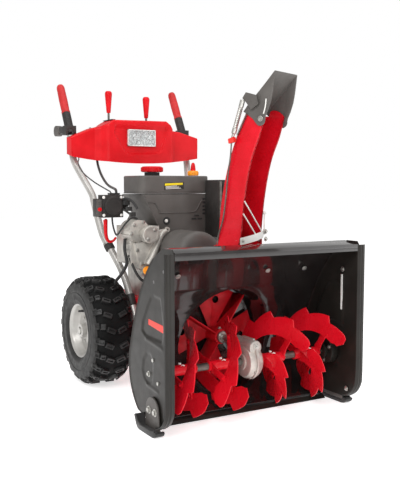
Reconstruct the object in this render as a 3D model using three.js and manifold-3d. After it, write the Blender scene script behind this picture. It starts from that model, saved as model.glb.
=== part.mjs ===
// A two-stage walk-behind snow blower, in millimetres, +Z up, intake opening facing -Y, operator at +Y.
// X = 0 is the middle of the machine, Y = 0 the wheel axle and Z = 0 the ground while it is built;
// the last lines move the group so that its origin is the middle of the footprint, on the ground.
import * as THREE from "three";
import { mergeVertices } from "three/addons/utils/BufferGeometryUtils.js";
import Module from "manifold-3d";

const wasm = await Module();
wasm.setup();

// ---------------------------------------------------------------- driving dimensions
const GAP = 0.3; // between two pieces that touch
const SHEET = 4; // steel sheet of the intake
const DEG = Math.PI / 180;

const AUGER_Y = -640; // auger axis
const AUGER_Z = 180;
const AUGER_TIP = 155;
const RIBBON_DEPTH = 58;
const RIBBON_SHEET = 4;
const FLIGHT_WIDTH = 126; // along the shaft, for half a turn
const FLIGHT_SPACING = 150;
const FLIGHT_START = { left: 42, right: 22 }; // first flight's inner end, from the middle
const SLEEVE_R = 17;
const SHAFT_R = 12;

const INTAKE_HALF = 345; // inner faces of the side plates
const PLATE = 5; // side plate thickness
const PLATE_MARGIN = 12; // side plate beyond the bay side of the rear wall
const FRONT_Y = -774;
const CHANNEL_TOP = 570;
const CHANNEL_BOTTOM = 537;
const WALL_CLEARANCE = 8; // auger tip to rear wall
const FLANGE_WIDTH = 26;

const IMPELLER_Z = 230;
const IMPELLER_R = 168;
const DRUM_R = 178; // inside
const DRUM_BACK = -381;

const CHUTE_X = 58;
const CHUTE_Y = -485;
const CHUTE_AIM = 20; // degrees that the chute is turned from straight ahead, towards +X
const CHUTE_HALF = 62.5;
const CHUTE_SHEET = 3;
const CHUTE_BASE_Z = 535;
const CHUTE_RING_R = 84;
const NECK_R = 76;
const HINGE_U = 138; // deflector hinge, forward of the chute axis
const HINGE_Z = 970;

const TYRE_R = 205;
const TYRE_WIDTH = 162;
const TYRE_MID_X = 276;
const RIM_R = 106;
const AXLE_R = 12.5;
const WHEEL_SIDES = 32;

const CHASSIS_HALF = 163;
const CHASSIS_TOP = 332;
const CHASSIS_FRONT = -315;
const TUBE_R = 14;
const CRANK_Z = 438;
const COVER_BACK = -217; // back of the belt cover's upper part
const GRIP_X = 264;
const LEVER_Y = 345; // clutch lever pivot
const LEVER_Z = 983;
const LEVER_PIN_R = 4;
const SWITCH_TOP = 720;

const COLOURS = {
  red: [0xd8141f, 0.35, 0.0],
  black: [0x2b2826, 0.42, 0.2],
  plastic: [0x4f4a46, 0.55, 0.0],
  rubber: [0x1e1e20, 0.85, 0.0],
  silver: [0xc9c6c0, 0.35, 0.7],
  cast: [0xa7a49c, 0.5, 0.7],
  steel: [0x77756f, 0.4, 0.9],
  orange: [0xf2921b, 0.45, 0.0],
  lens: [0xdfe6ea, 0.1, 0.0],
};

// ---------------------------------------------------------------- solids
const AXES_FOR_X = new THREE.Matrix4().makeBasis(
  new THREE.Vector3(0, 1, 0),
  new THREE.Vector3(0, 0, 1),
  new THREE.Vector3(1, 0, 0),
);
const AXES_FOR_Y = new THREE.Matrix4().makeBasis(
  new THREE.Vector3(1, 0, 0),
  new THREE.Vector3(0, 0, 1),
  new THREE.Vector3(0, -1, 0),
);

// Turns a closed geometry into a solid that can be joined and cut.
function solid(geometry) {
  const bare = geometry.index ? geometry.toNonIndexed() : geometry.clone();
  bare.deleteAttribute("normal");
  bare.deleteAttribute("uv");
  const merged = mergeVertices(bare, 1e-4);
  const made = new wasm.Manifold(
    new wasm.Mesh({
      numProp: 3,
      vertProperties: merged.attributes.position.array,
      triVerts: new Uint32Array(merged.index.array),
    }),
  );
  return made;
}

function geometryOf(made) {
  const mesh = made.getMesh();
  const indexed = new THREE.BufferGeometry();
  const places = new THREE.BufferAttribute(new Float32Array(mesh.vertProperties), 3);
  indexed.setAttribute("position", places);
  indexed.setIndex(new THREE.BufferAttribute(new Uint32Array(mesh.triVerts), 1));
  const flat = indexed.toNonIndexed();
  flat.computeVertexNormals();
  return flat;
}

const join = (first, ...rest) => rest.reduce((sum, next) => sum.add(next), first);
const cut = (first, ...rest) => rest.reduce((left, next) => left.subtract(next), first);

const shapeOf = (points) => new THREE.Shape(points.map(([a, b]) => new THREE.Vector2(a, b)));

// Points of an arc in degrees, both ends included.
function arc(cx, cy, r, from, to, steps) {
  const points = [];
  for (let i = 0; i <= steps; i += 1) {
    const angle = (from + ((to - from) * i) / steps) * DEG;
    points.push([cx + r * Math.cos(angle), cy + r * Math.sin(angle)]);
  }
  return points;
}

const circle = (cx, cy, r, sides) => arc(cx, cy, r, 0, 360, sides).slice(0, sides);

function prism(points, depth) {
  return new THREE.ExtrudeGeometry(shapeOf(points), { depth, bevelEnabled: false });
}

// An outline drawn in (Y, Z), solid between two X values.
function slabX(points, x0, x1) {
  return solid(prism(points, x1 - x0).applyMatrix4(AXES_FOR_X).translate(x0, 0, 0));
}

// An outline drawn in (X, Z), solid between two Y values.
function slabY(points, y0, y1) {
  return solid(prism(points, y1 - y0).applyMatrix4(AXES_FOR_Y).translate(0, y1, 0));
}

// An outline drawn in (X, Y), solid between two Z values.
function slabZ(points, z0, z1) {
  return solid(prism(points, z1 - z0).translate(0, 0, z0));
}

function block(x0, x1, y0, y1, z0, z1) {
  const box = new THREE.BoxGeometry(x1 - x0, y1 - y0, z1 - z0);
  return solid(box.translate((x0 + x1) / 2, (y0 + y1) / 2, (z0 + z1) / 2));
}

// A round bar from point a to point b.
function bar(a, b, r, sides = 16, rEnd = r) {
  const from = new THREE.Vector3(...a);
  const to = new THREE.Vector3(...b);
  const along = to.clone().sub(from);
  const rod = new THREE.CylinderGeometry(rEnd, r, along.length(), sides);
  const turn = new THREE.Quaternion().setFromUnitVectors(
    new THREE.Vector3(0, 1, 0),
    along.clone().normalize(),
  );
  rod.applyQuaternion(turn);
  const middle = from.add(to).multiplyScalar(0.5);
  return solid(rod.translate(middle.x, middle.y, middle.z));
}

// A turned solid from a closed profile of [radius, height], its axis along +Z.
function turned(profile, sides) {
  const closed = [...profile, profile[0]].map(([r, h]) => new THREE.Vector2(r, h));
  return new THREE.LatheGeometry(closed, sides).rotateX(Math.PI / 2);
}

// A round tube or cable along a smooth path.
function tube(points, r, sides, steps) {
  const places = points.map((p) => new THREE.Vector3(...p));
  const path = new THREE.CatmullRomCurve3(places, false, "centripetal");
  const section = shapeOf(circle(0, 0, r, sides));
  return new THREE.ExtrudeGeometry(section, { steps, extrudePath: path, bevelEnabled: false });
}

// A sheet of even thickness: the line of points, and the same line moved to its left.
function sheetOutline(points, thickness) {
  const moved = points.map((point, i) => {
    const before = points[Math.max(i - 1, 0)];
    const after = points[Math.min(i + 1, points.length - 1)];
    const into = [point[0] - before[0], point[1] - before[1]];
    const out = [after[0] - point[0], after[1] - point[1]];
    const n1 = unitLeft(i ? into : out);
    const n2 = unitLeft(i < points.length - 1 ? out : into);
    const sum = [n1[0] + n2[0], n1[1] + n2[1]];
    const scale = (2 * thickness) / (sum[0] * sum[0] + sum[1] * sum[1]);
    return [point[0] + sum[0] * scale, point[1] + sum[1] * scale];
  });
  return [...points, ...moved.reverse()];
}

function unitLeft([a, b]) {
  const length = Math.hypot(a, b);
  return [-b / length, a / length];
}

// ---------------------------------------------------------------- the scene graph
const machine = new THREE.Group();

function add(name, shape, colour, parent = machine) {
  const [hex, roughness, metalness] = COLOURS[colour];
  const geometry = shape.isBufferGeometry ? shape : geometryOf(shape);
  const material = new THREE.MeshStandardMaterial({ color: hex, roughness, metalness });
  const mesh = new THREE.Mesh(geometry, material);
  mesh.name = name;
  parent.add(mesh);
  return mesh;
}

function groupAt(x, y, z, parent = machine) {
  const group = new THREE.Group();
  group.position.set(x, y, z);
  parent.add(group);
  return group;
}

// ---------------------------------------------------------------- intake
// The bay side of the rear wall, in (Y, Z), from the scraper lip up to the front channel.
function wallLine() {
  const low = arc(AUGER_Y, AUGER_Z, AUGER_TIP + WALL_CLEARANCE, -78, 25, 12);
  const [y0, z0] = low[low.length - 1];
  const back = new THREE.CubicBezierCurve(
    new THREE.Vector2(y0, z0),
    new THREE.Vector2(-520, 345),
    new THREE.Vector2(-590, 505),
    new THREE.Vector2(-709, CHANNEL_TOP - SHEET),
  );
  const high = back.getPoints(8).slice(1).map((p) => [p.x, p.y]);
  const inside = FRONT_Y + SHEET;
  return [...low, ...high, [inside, CHANNEL_TOP - SHEET - 9], [inside, CHANNEL_BOTTOM]];
}

// Everything in front of the rear wall's back face.
function bay() {
  const back = sheetOutline(wallLine(), -(SHEET + GAP)).slice(wallLine().length);
  const outline = [...back.reverse(), [FRONT_Y - 60, CHANNEL_BOTTOM], [FRONT_Y - 60, 0]];
  return slabX(outline, -INTAKE_HALF - 60, INTAKE_HALF + 60);
}

function augerHousing() {
  const half = INTAKE_HALF - GAP;
  const wall = slabX(sheetOutline(wallLine(), -SHEET), -half, half);
  const mouth = slabY(circle(0, IMPELLER_Z, DRUM_R, 40), -640, -380);
  return cut(wall, mouth);
}

// The rounded lower front corner of a side plate, in (Y, Z).
const plateCorner = () => arc(-694, 108, 80, 192, 262, 6);

// Outline of a side plate in (Y, Z): its back edge stands a little behind the rear wall.
function plateOutline() {
  const line = wallLine().slice(0, -2);
  const back = sheetOutline(line, -PLATE_MARGIN).slice(line.length).reverse();
  const edge = back.filter(([, z]) => z > 40 && z < 540);
  const front = [[FRONT_Y, CHANNEL_TOP - 10], [FRONT_Y, 128], ...plateCorner()];
  return [...front, [-620, 26], ...edge, [-712, CHANNEL_TOP]];
}

function sidePlate(side) {
  const face = slabX(plateOutline(), 0, PLATE);
  const flangeLine = [[FRONT_Y, CHANNEL_TOP - 12], [FRONT_Y, 128], ...plateCorner()];
  const flange = slabX(sheetOutline(flangeLine, SHEET), 0, FLANGE_WIDTH + PLATE);
  const plate = join(face, flange);
  return side > 0
    ? plate.translate([INTAKE_HALF, 0, 0])
    : plate.mirror([1, 0, 0]).translate([-INTAKE_HALF, 0, 0]);
}

function scraperBar() {
  const outline = [[-626, 2], [-610, 2], [-572, 12], [-575, 18], [-612, 14]];
  return slabX(outline, -INTAKE_HALF + 6, INTAKE_HALF - 6);
}

// A skid shoe: an upright bolted to the side plate and a sole with turned-up ends.
function skid(side) {
  const upright = [[-604, 104], [-592, 12], [-690, 12], [-697, 62], [-660, 112]];
  const sole = [
    [-566, 40],
    [-582, 12],
    [-606, 0],
    [-694, 0],
    [-714, 7],
    [-720, 15],
    [-713, 20],
    [-690, 13],
    [-610, 13],
    [-592, 20],
    [-574, 44],
  ];
  const shoe = join(slabX(upright, 0, 6), slabX(sole, 0, 34));
  const face = INTAKE_HALF + PLATE + GAP;
  return side > 0 ? shoe.translate([face, 0, 0]) : shoe.mirror([1, 0, 0]).translate([-face, 0, 0]);
}

function impellerDrum() {
  const shell = slabY(circle(0, IMPELLER_Z, DRUM_R + SHEET, 40), -600, DRUM_BACK);
  const neck = slabZ(circle(CHUTE_X, CHUTE_Y, NECK_R, 32), IMPELLER_Z, CHUTE_BASE_Z - GAP);
  const room = slabY(circle(0, IMPELLER_Z, DRUM_R, 40), -620, DRUM_BACK - SHEET);
  const throat = slabZ(circle(CHUTE_X, CHUTE_Y, NECK_R - SHEET, 32), IMPELLER_Z, CHUTE_BASE_Z + 1);
  const bearing = slabY(circle(0, IMPELLER_Z, 20, 20), DRUM_BACK - 10, DRUM_BACK + 10);
  return cut(join(shell, neck), room, throat, bearing, bay());
}

// ---------------------------------------------------------------- auger
// One toothed ribbon: half a turn of a helix from angle a0 (degrees, from +Z towards -Y), its axis on X.
function ribbon(x0, x1, a0, hand) {
  const steps = 15;
  const teeth = 5;
  const corners = [];
  for (let i = 0; i <= steps; i += 1) {
    const part = i / steps;
    const angle = (a0 + 180 * part) * DEG;
    const x = x0 + (x1 - x0) * part;
    const wave = (part * teeth) % 1;
    const outer = AUGER_TIP - 14 * Math.abs(2 * wave - 1) * (wave > 0.5 ? 1 : 0.6);
    const inner = AUGER_TIP - RIBBON_DEPTH;
    for (const [r, dx] of [[inner, 0], [outer, 0], [outer, RIBBON_SHEET], [inner, RIBBON_SHEET]]) {
      corners.push(x + hand * dx, -r * Math.sin(angle), r * Math.cos(angle));
    }
  }
  const faces = [];
  const quad = (a, b, c, d) => faces.push(a, b, c, a, c, d);
  for (let i = 0; i < steps; i += 1) {
    for (let k = 0; k < 4; k += 1) {
      const next = (k + 1) % 4;
      quad(4 * i + k, 4 * i + next, 4 * i + 4 + next, 4 * i + 4 + k);
    }
  }
  quad(3, 2, 1, 0);
  quad(4 * steps, 4 * steps + 1, 4 * steps + 2, 4 * steps + 3);
  if (hand > 0) faces.reverse();
  const mesh = new THREE.BufferGeometry();
  mesh.setAttribute("position", new THREE.Float32BufferAttribute(corners, 3));
  mesh.setIndex(faces);
  return solid(mesh);
}

// An arm from the sleeve to the ribbon at one angle.
function spoke(x, angle) {
  const reach = AUGER_TIP - RIBBON_DEPTH + 16;
  const arm = block(x - 4, x + 8, -16, 16, SLEEVE_R - 4, reach);
  return arm.rotate([angle, 0, 0]);
}

// A flight: a sleeve on the shaft with two ribbons half a turn apart.
function flight(inner, side, phase) {
  const x0 = side * inner;
  const x1 = side * (inner + FLIGHT_WIDTH);
  const sleeve = bar([side * (inner + 10), 0, 0], [side * (inner + FLIGHT_WIDTH - 10), 0, 0], SLEEVE_R, 16);
  const bore = bar([x0 - side * 20, 0, 0], [x1 + side * 20, 0, 0], SHAFT_R + GAP, 16);
  const arms = [];
  for (const half of [0, 180]) {
    arms.push(ribbon(x0, x1, phase + half, side));
    for (const part of [0.2, 0.8]) {
      arms.push(spoke(x0 + (x1 - x0) * part, phase + half + 180 * part));
    }
  }
  return cut(join(sleeve, ...arms), bore);
}

// ---------------------------------------------------------------- impeller
function impeller() {
  const hub = bar([0, -470, 0], [0, -390, 0], 26, 24);
  const pieces = [hub];
  for (let i = 0; i < 4; i += 1) {
    const blade = block(22, IMPELLER_R, -472, -396, -2, 2);
    const sector = [[14, 0], ...arc(0, 0, IMPELLER_R, 0, 58, 5), [22 * Math.cos(58 * DEG), 22]];
    const hole = circle(110, 52, 13, 16);
    const flap = cut(slabY(sector, -402, -398), slabY(hole, -410, -390));
    const fan = join(blade, flap);
    pieces.push(fan.rotate([0, 90 * i + 33, 0]));
  }
  const bore = bar([0, -480, 0], [0, -380, 0], 12 + GAP, 24);
  return cut(join(...pieces), bore);
}

function pulley(r, width, bore) {
  const groove = 9;
  const half = width / 2;
  const rims = [[r, -half], [r, -half + 2], [r - groove, 0], [r, half - 2], [r, half]];
  const profile = [[bore, -half], ...rims, [bore, half]];
  return turned(profile, 28).rotateX(Math.PI / 2);
}

// ---------------------------------------------------------------- chute, in its own frame
// +Y of this frame points to the chute's back and -Y the way it throws; "u" below is minus Y.
function chuteChannel() {
  const back = [[-50, 546], [-36, 690], [-9, 810], [29, 917], [66, 990]];
  const front = [[146, 985], [128, 920], [92, 830], [66, 705], [50, 560], [50, 546]];
  const crown = [[84, 1005], [120, 1008], [139, 1000]];
  const outer = [...back, ...crown, ...front].map(([u, z]) => [-u, z]);
  const inside = back.map(([u, z]) => [u + CHUTE_SHEET, z]);
  inside[0] = [-50 + CHUTE_SHEET, 540];
  const open = [[100, 1030], [260, 1030], [260, 574], [47, 574], [47, 540]];
  const inner = [...inside, ...open].map(([u, z]) => [-u, z]);
  const channel = cut(
    slabX(outer, -CHUTE_HALF, CHUTE_HALF),
    slabX(inner, -CHUTE_HALF + CHUTE_SHEET, CHUTE_HALF - CHUTE_SHEET),
  );
  const ring = cut(
    slabZ(circle(0, 0, CHUTE_RING_R, 36), CHUTE_BASE_Z, 547),
    slabZ(circle(0, 0, NECK_R - SHEET, 36), CHUTE_BASE_Z - 5, 560),
  );
  return join(channel, ring);
}

function chuteGuard() {
  const line = [[-64, -57], [-40, -67], [0, -76], [40, -73], [66, -60]];
  const plate = slabZ(sheetOutline(line, 3), -12, 12).rotate([0, -11, 0]).translate([0, 0, 579]);
  const longRod = bar([-60, -71, 702], [44, -71.5, 592], 2.5, 8);
  const shortRod = bar([-60, -66, 660], [2, -74.5, 586], 2.5, 8);
  const post = bar([60, -68, 585], [60, -68, 656], 3, 8);
  const ball = solid(new THREE.SphereGeometry(6.5, 12, 8).translate(60, -68.5, 660));
  const bolts = block(52, 66, -75, -63.5, 562, 604);
  return join(plate, longRod, shortRod, post, ball, bolts);
}

// The deflector cable's bracket, adjuster barrel and the cable itself, down the chute's side.
function cableAdjuster() {
  const plate = [[-70, 1040], [-84, 1058], [-126, 1046], [-134, 1016], [-104, 1000], [-86, 1024]];
  const bracket = slabX(plate, -75, -67.3);
  const barrel = bar([-76, -74, 1034], [-76, -36, 925], 8, 14);
  const ferrule = bar([-76, -36, 925], [-76, -29, 905], 5, 12);
  const path = [
    [-76, -30, 909],
    [-74, -22, 853],
    [-71, -9, 789],
    [-69, 2, 708],
    [-69, 14, 638],
    [-69, 32, 587],
    [-69, 36, 551],
  ];
  return join(bracket, barrel, ferrule, solid(tube(path, 2.8, 8, 20)));
}

// The deflector about its hinge: y is towards the chute's back, z up from the hinge.
function deflector() {
  const place = ([u, z]) => [HINGE_U - u, z - HINGE_Z];
  const roofLine = [[70, 996], [84, 1012], [120, 1046], [157, 1081], [193, 1117]].map(place);
  const seam = sheetOutline(roofLine, -CHUTE_SHEET / 2).slice(roofLine.length).reverse();
  const edge = [
    [188, 1087],
    [184, 1058],
    [178, 1028],
    [168, 1000],
    [157, 978],
    ...arc(136, 966, 19, 10, -150, 7),
    [106, 972],
    [88, 984],
  ].map(place);
  const wall = CHUTE_HALF + 0.5;
  const cheek = [...seam, ...edge];
  const left = slabX(cheek, -wall - CHUTE_SHEET, -wall);
  const right = slabX(cheek, wall, wall + CHUTE_SHEET);
  const roof = slabX(sheetOutline(roofLine, -CHUTE_SHEET), -wall - 1, wall + 1);
  const hole = bar([-80, 0, 0], [80, 0, 0], 4 + GAP, 12);
  return cut(join(left, right, roof), hole);
}

// ---------------------------------------------------------------- wheels, about the axle
// A hollow tyre whose cavity opens towards the rim.
function tyre() {
  const half = TYRE_WIDTH / 2;
  const bead = RIM_R - 6;
  const profile = [
    [bead, -half + 12],
    [RIM_R + 8, -half],
    [150, -half],
    [186, -half + 4],
    [TYRE_R - 4, -half + 18],
    [TYRE_R, -half + 40],
    [TYRE_R, half - 40],
    [TYRE_R - 4, half - 18],
    [186, half - 4],
    [150, half],
    [RIM_R + 8, half],
    [bead, half - 12],
    [bead, half - 28],
    [150, half - 9],
    [188, half - 24],
    [188, -half + 24],
    [150, -half + 9],
    [bead, -half + 28],
  ];
  return turned(profile, WHEEL_SIDES);
}

function rim() {
  const half = TYRE_WIDTH / 2;
  const barrelOuter = RIM_R - 6 - GAP;
  const hubBore = AXLE_R + GAP;
  const profile = [
    [24, 6],
    [26, 38],
    [70, 30],
    [84, 28],
    [86, -half + 30],
    [RIM_R - 10, -half + 12.5],
    [barrelOuter, -half + 12.5],
    [barrelOuter, half - 12.5],
    [RIM_R - 9, half - 11],
    [88, 62],
    [72, 36],
    [26, 44],
    [24, 66],
    [hubBore, 66],
    [hubBore, 6],
  ];
  return turned(profile, WHEEL_SIDES);
}

// ---------------------------------------------------------------- chassis and controls
function chassisBox() {
  const outline = [
    [CHASSIS_FRONT, 118],
    [CHASSIS_FRONT, 300],
    [-290, CHASSIS_TOP],
    [120, CHASSIS_TOP],
    [155, 300],
    [155, 150],
    [120, 118],
  ];
  const box = slabX(outline, -CHASSIS_HALF, CHASSIS_HALF);
  const hollow = [
    [CHASSIS_FRONT + 4, 100],
    [CHASSIS_FRONT + 4, 298],
    [-288, CHASSIS_TOP - 4],
    [118, CHASSIS_TOP - 4],
    [151, 298],
    [151, 153],
    [117, 122],
    [117, 100],
  ];
  const room = slabX(hollow, -CHASSIS_HALF + 3, CHASSIS_HALF - 3);
  const axle = bar([-CHASSIS_HALF - 5, 0, TYRE_R], [CHASSIS_HALF + 5, 0, TYRE_R], AXLE_R + GAP, 24);
  const slot = block(-24, 24, CHASSIS_FRONT - 5, CHASSIS_FRONT + 12, 206, 254);
  return cut(box, room, axle, slot);
}

function handlebar(side) {
  const lower = CHASSIS_HALF + GAP + TUBE_R;
  const path = [
    [lower, -170, 215],
    [lower, -105, 325],
    [lower + 3, -40, 418],
    [204, 18, 505],
    [222, 60, 565],
    [223, 135, 680],
    [222, 165, 721],
    [245, 213, 793],
    [262, 254, 855],
    [GRIP_X, 276, 915],
    [GRIP_X, 287, 958],
  ];
  return tube(path.map(([x, y, z]) => [side * x, y, z]), TUBE_R, 10, 28);
}

// Points along the slanted grip, t from 0 at its foot to 1 at its top.
function gripPoint(side, t) {
  return [side * GRIP_X, 284 + 120 * t, 962 + 214 * t];
}

function gripSleeve(side) {
  return bar(gripPoint(side, 0.03), gripPoint(side, 0.42), 18, 20);
}

function grip(side) {
  const main = bar(gripPoint(side, 0.4225), gripPoint(side, 0.93), 18, 20);
  const tip = bar(gripPoint(side, 0.93), gripPoint(side, 1), 18, 20, 9);
  return join(main, tip);
}

// A clutch lever about its pivot: a hub, a thin arm towards the operator and a rounded press pad.
function clutchLever() {
  const arm = block(-9, 9, 8, 70, -4, 4);
  const pad = slabX([...arc(82, 3, 22, 90, 270, 8), ...arc(96, 3, 22, 270, 450, 8)], -11, 11);
  const hub = bar([-12, 0, 0], [12, 0, 0], 14, 20);
  const bore = bar([-20, 0, 0], [20, 0, 0], LEVER_PIN_R + GAP, 16);
  return cut(join(hub, arm, pad), bore);
}

// The clamp at the foot of a grip, with the cheek and pin that carry the lever.
function leverBracket(side) {
  const [, y, z] = gripPoint(side, 0.09);
  const clamp = block(-22, 22, y - 18, y + 26, z - 20, z + 18);
  const cheek = block(12 + GAP, 22, y, LEVER_Y + 14, LEVER_Z - 14, LEVER_Z + 14);
  const pin = bar([-14, LEVER_Y, LEVER_Z], [20, LEVER_Y, LEVER_Z], LEVER_PIN_R, 16);
  const clip = join(clamp, cheek, pin);
  const placed = side > 0 ? clip : clip.mirror([1, 0, 0]);
  const bore = bar(gripPoint(side, -0.4), gripPoint(side, 0.6), 18 + GAP, 20);
  return cut(placed.translate([side * GRIP_X, 0, 0]), bore);
}

// The dash: a bulged middle and two wings, open behind and below.
function dash() {
  const wings = [[-290, 950], [-205, 986], [205, 986], [290, 962]];
  const lowEdge = arc(0, 2476, 1630, 280.2, 259.8, 8);
  const middle = [[-146, 846], [-146, 1004], [-118, 1022], [122, 1026], [140, 1010], [152, 846]];
  const wingFull = slabY([...wings, ...lowEdge], 205, 262);
  const wingHollow = [[-286, 800], [-286, 946], [-203, 981], [203, 981], [286, 957], [286, 800]];
  const wingRoom = slabY(wingHollow, 209, 310);
  const nose = slabY(middle, 170, 292);
  const noseHollow = [[-142, 800], [-142, 1001], [-116, 1017], [120, 1021], [136, 1007], [148, 800]];
  const noseRoom = slabY(noseHollow, 174, 310);
  const lamp = slabY([[-61, 916], [-61, 986], [67, 986], [67, 916]], 160, 180);
  const speed = block(-122, -106, 188, 284, 1000, 1040);
  const aim = block(50, 66, 188, 284, 1000, 1040);
  return cut(join(wingFull, nose), wingRoom, noseRoom, lamp, speed, aim);
}

function headlight() {
  return slabY([[-60, 917], [-60, 985], [66, 985], [66, 917]], 166, 196);
}

// A dash lever about its pivot, with a tapered knob.
function dashLever() {
  const rod = bar([0, 0, 0], [0, 0, 112], 4.5, 10);
  const eye = bar([-7, 0, 0], [7, 0, 0], 9, 16);
  const knob = bar([0, 0, 108], [0, 0, 184], 9, 16, 15);
  const cap = bar([0, 0, 184], [0, 0, 196], 15, 16, 9);
  return join(rod, eye, knob, cap);
}

// ---------------------------------------------------------------- engine
function fuelTank() {
  const plan = [
    [-142, 22],
    [-160, -10],
    [-160, -110],
    ...arc(-130, -128, 30, 190, 260, 3),
    [30, -158],
    [90, -158],
    ...arc(112, -132, 26, 280, 350, 3),
    [140, 30],
    [120, 44],
    [-128, 44],
  ];
  const body = slabZ(plan, 724, 792);
  const neck = bar([-50, -32, 790], [-50, -32, 806], 30, 24);
  const well = bar([-50, -32, 770], [-50, -32, 830], 17, 20);
  return cut(join(body, neck), well);
}

function fuelCap() {
  const cap = bar([0, 0, 0.3], [0, 0, 23], 44, 24);
  const plug = bar([0, 0, -20], [0, 0, 4], 16, 16);
  return join(cap, plug);
}

function engineShroud() {
  const front = [[-150, 722], [-62, 560], [140, 560], [140, 722]];
  const face = slabY(front, -158, 30);
  const side = [[60, 722], [60, 470], [178, 470], [178, 722]];
  const flank = slabY(side, -150, 34);
  const fan = bar([0, 30, 560], [0, 92, 560], 118, 32);
  return join(face, flank, fan);
}

function engineBlock() {
  const crankcase = block(-128, 58, -196, 30, CHASSIS_TOP + GAP, 558);
  const gearCase = bar([-188, -206, 590], [-188, -120, 590], 40, 24);
  const web = block(-214, -100, -190, -60, 468, 606);
  const foot = slabY([[-205, 545], [-186, 452], [-120, 420], [-110, 560]], -204, -150);
  const filler = bar([-163, -214, 444], [-150, -160, 430], 14, 14);
  const strap = [[-172, 470], [-146, 462], [-104, 560], [-80, 580], [-88, 596], [-122, 590], [-126, 560]];
  const mount = slabY(strap, -216, -204);
  return join(crankcase, gearCase, web, foot, filler, mount);
}

function starterMotor() {
  return bar([-158, -246, 578], [-158, -206.5, 578], 32, 28);
}

// The belt cover's outline in (X, Z), from a floor height up over the engine pulley.
function coverOutline(wall, floorZ) {
  const top = arc(-28, 500 - wall / 2, 92 - wall, 152, 40, 7);
  const left = [[-112 + wall, floorZ], [-112 + wall, 520 - wall / 2]];
  return [...left, ...top, [104 - wall, 500], [104 - wall, floorZ]];
}

// A deep lower shell in front of the chassis and an upper one that reaches back to the engine.
function beltCover() {
  const wall = 4;
  const frontY = DRUM_BACK + GAP;
  const midY = CHASSIS_FRONT - GAP;
  const low = slabY(coverOutline(0, 130), frontY, midY);
  const high = slabY(coverOutline(0, CHASSIS_TOP + GAP), midY - wall, COVER_BACK);
  const lowRoom = slabY(coverOutline(wall, 120), frontY + wall, midY - wall);
  const highRoom = slabY(coverOutline(wall, CHASSIS_TOP + GAP + wall), midY - 2 * wall, COVER_BACK - wall);
  const shaft = block(-18, 18, COVER_BACK - 10, COVER_BACK + 10, CRANK_Z - 18, CRANK_Z + 18);
  const fanShaft = bar([0, frontY - 1, IMPELLER_Z], [0, frontY + wall + 1, IMPELLER_Z], 20, 20);
  return cut(join(low, high), lowRoom, highRoom, shaft, fanShaft);
}

// A belt round two pulleys on Y axes, drawn in (X, Z).
function driveBelt(lowZ, lowR, highZ, highR) {
  const loop = (extra) => [
    ...arc(0, highZ, highR + extra, 0, 180, 12),
    ...arc(0, lowZ, lowR + extra, 180, 360, 12),
  ];
  return cut(slabY(loop(8), -354, -344), slabY(loop(0), -360, -340));
}

function muffler() {
  return block(112, 190, -262, -164, 560, 776);
}

function switchBox() {
  const body = block(-284, -200, -92, -52, 636, SWITCH_TOP);
  const module = block(-306, -283, -88, -54, 640, 706);
  const round = bar([-240, -100, 680], [-240, -91, 680], 36, 28);
  const mount = block(-201, -176, -84, -60, 660, 700);
  const hole = bar([-295, -95, 667], [-295, -70, 667], 7 + GAP, 16);
  return cut(join(body, module, round, mount), hole);
}

function recoilHandle() {
  const gripBar = bar([-262, -70, 626], [-260, -70, 556], 9, 14, 12);
  const hook = [[-261, -70, 560], [-252, -70, 545], [-234, -70, 546], [-221, -70, 560]];
  return join(gripBar, solid(tube(hook, 4.5, 8, 8)));
}

// The lead from the switch box round to the starter's gear case.
function starterLead() {
  const path = [
    [-238, -75, 635.4],
    [-238, -77, 620],
    [-238, -92, 590],
    [-238, -114, 572],
    [-237, -148, 590],
    [-229, -182, 620],
    [-210, -196, 640],
    [-188, -190, 634.2],
  ];
  return tube(path, 3.5, 8, 26);
}

// The control cable from under the dash down to the switch box.
function controlCable() {
  const path = [
    [-170, 236, 868],
    [-171, 226, 845],
    [-177, 180, 804],
    [-187, 90, 760],
    [-200, -12, 742],
    [-213, -54, 738],
    [-216, -66, 730],
    [-216, -67, 722],
  ];
  const thin = [
    [-250, 234, 870],
    [-259, 208, 860],
    [-275, 172, 852],
    [-298, 110, 838],
    [-308, 52, 811],
    [-300, 20, 790],
    [-280, -20, 764],
    [-255, -55, 742],
    [-240, -70, 730],
    [-236, -68, 723],
  ];
  // the grommet on the switch box's lid holds both cables
  const grommet = block(-248, -206, -76, -58, SWITCH_TOP + GAP, SWITCH_TOP + 7);
  return join(grommet, solid(tube(path, 5, 10, 26)), solid(tube(thin, 2.5, 6, 30)));
}

// ---------------------------------------------------------------- assembly
function buildIntake() {
  add("auger_housing", augerHousing(), "black");
  add("side_plate_left", sidePlate(-1), "black");
  add("side_plate_right", sidePlate(1), "black");
  add("scraper_bar", scraperBar(), "black");
  add("skid_left", skid(-1), "black");
  add("skid_right", skid(1), "black");
  add("impeller_drum", impellerDrum(), "black");
  for (const [name, side] of [["left", -1], ["right", 1]]) {
    const bearing = cut(
      bar([side * 316, AUGER_Y, AUGER_Z], [side * (INTAKE_HALF - GAP), AUGER_Y, AUGER_Z], 44, 24),
      bar([side * 300, AUGER_Y, AUGER_Z], [side * 360, AUGER_Y, AUGER_Z], SHAFT_R + GAP, 24),
    );
    add("auger_bearing_" + name, bearing, "black");
  }
}

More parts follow.
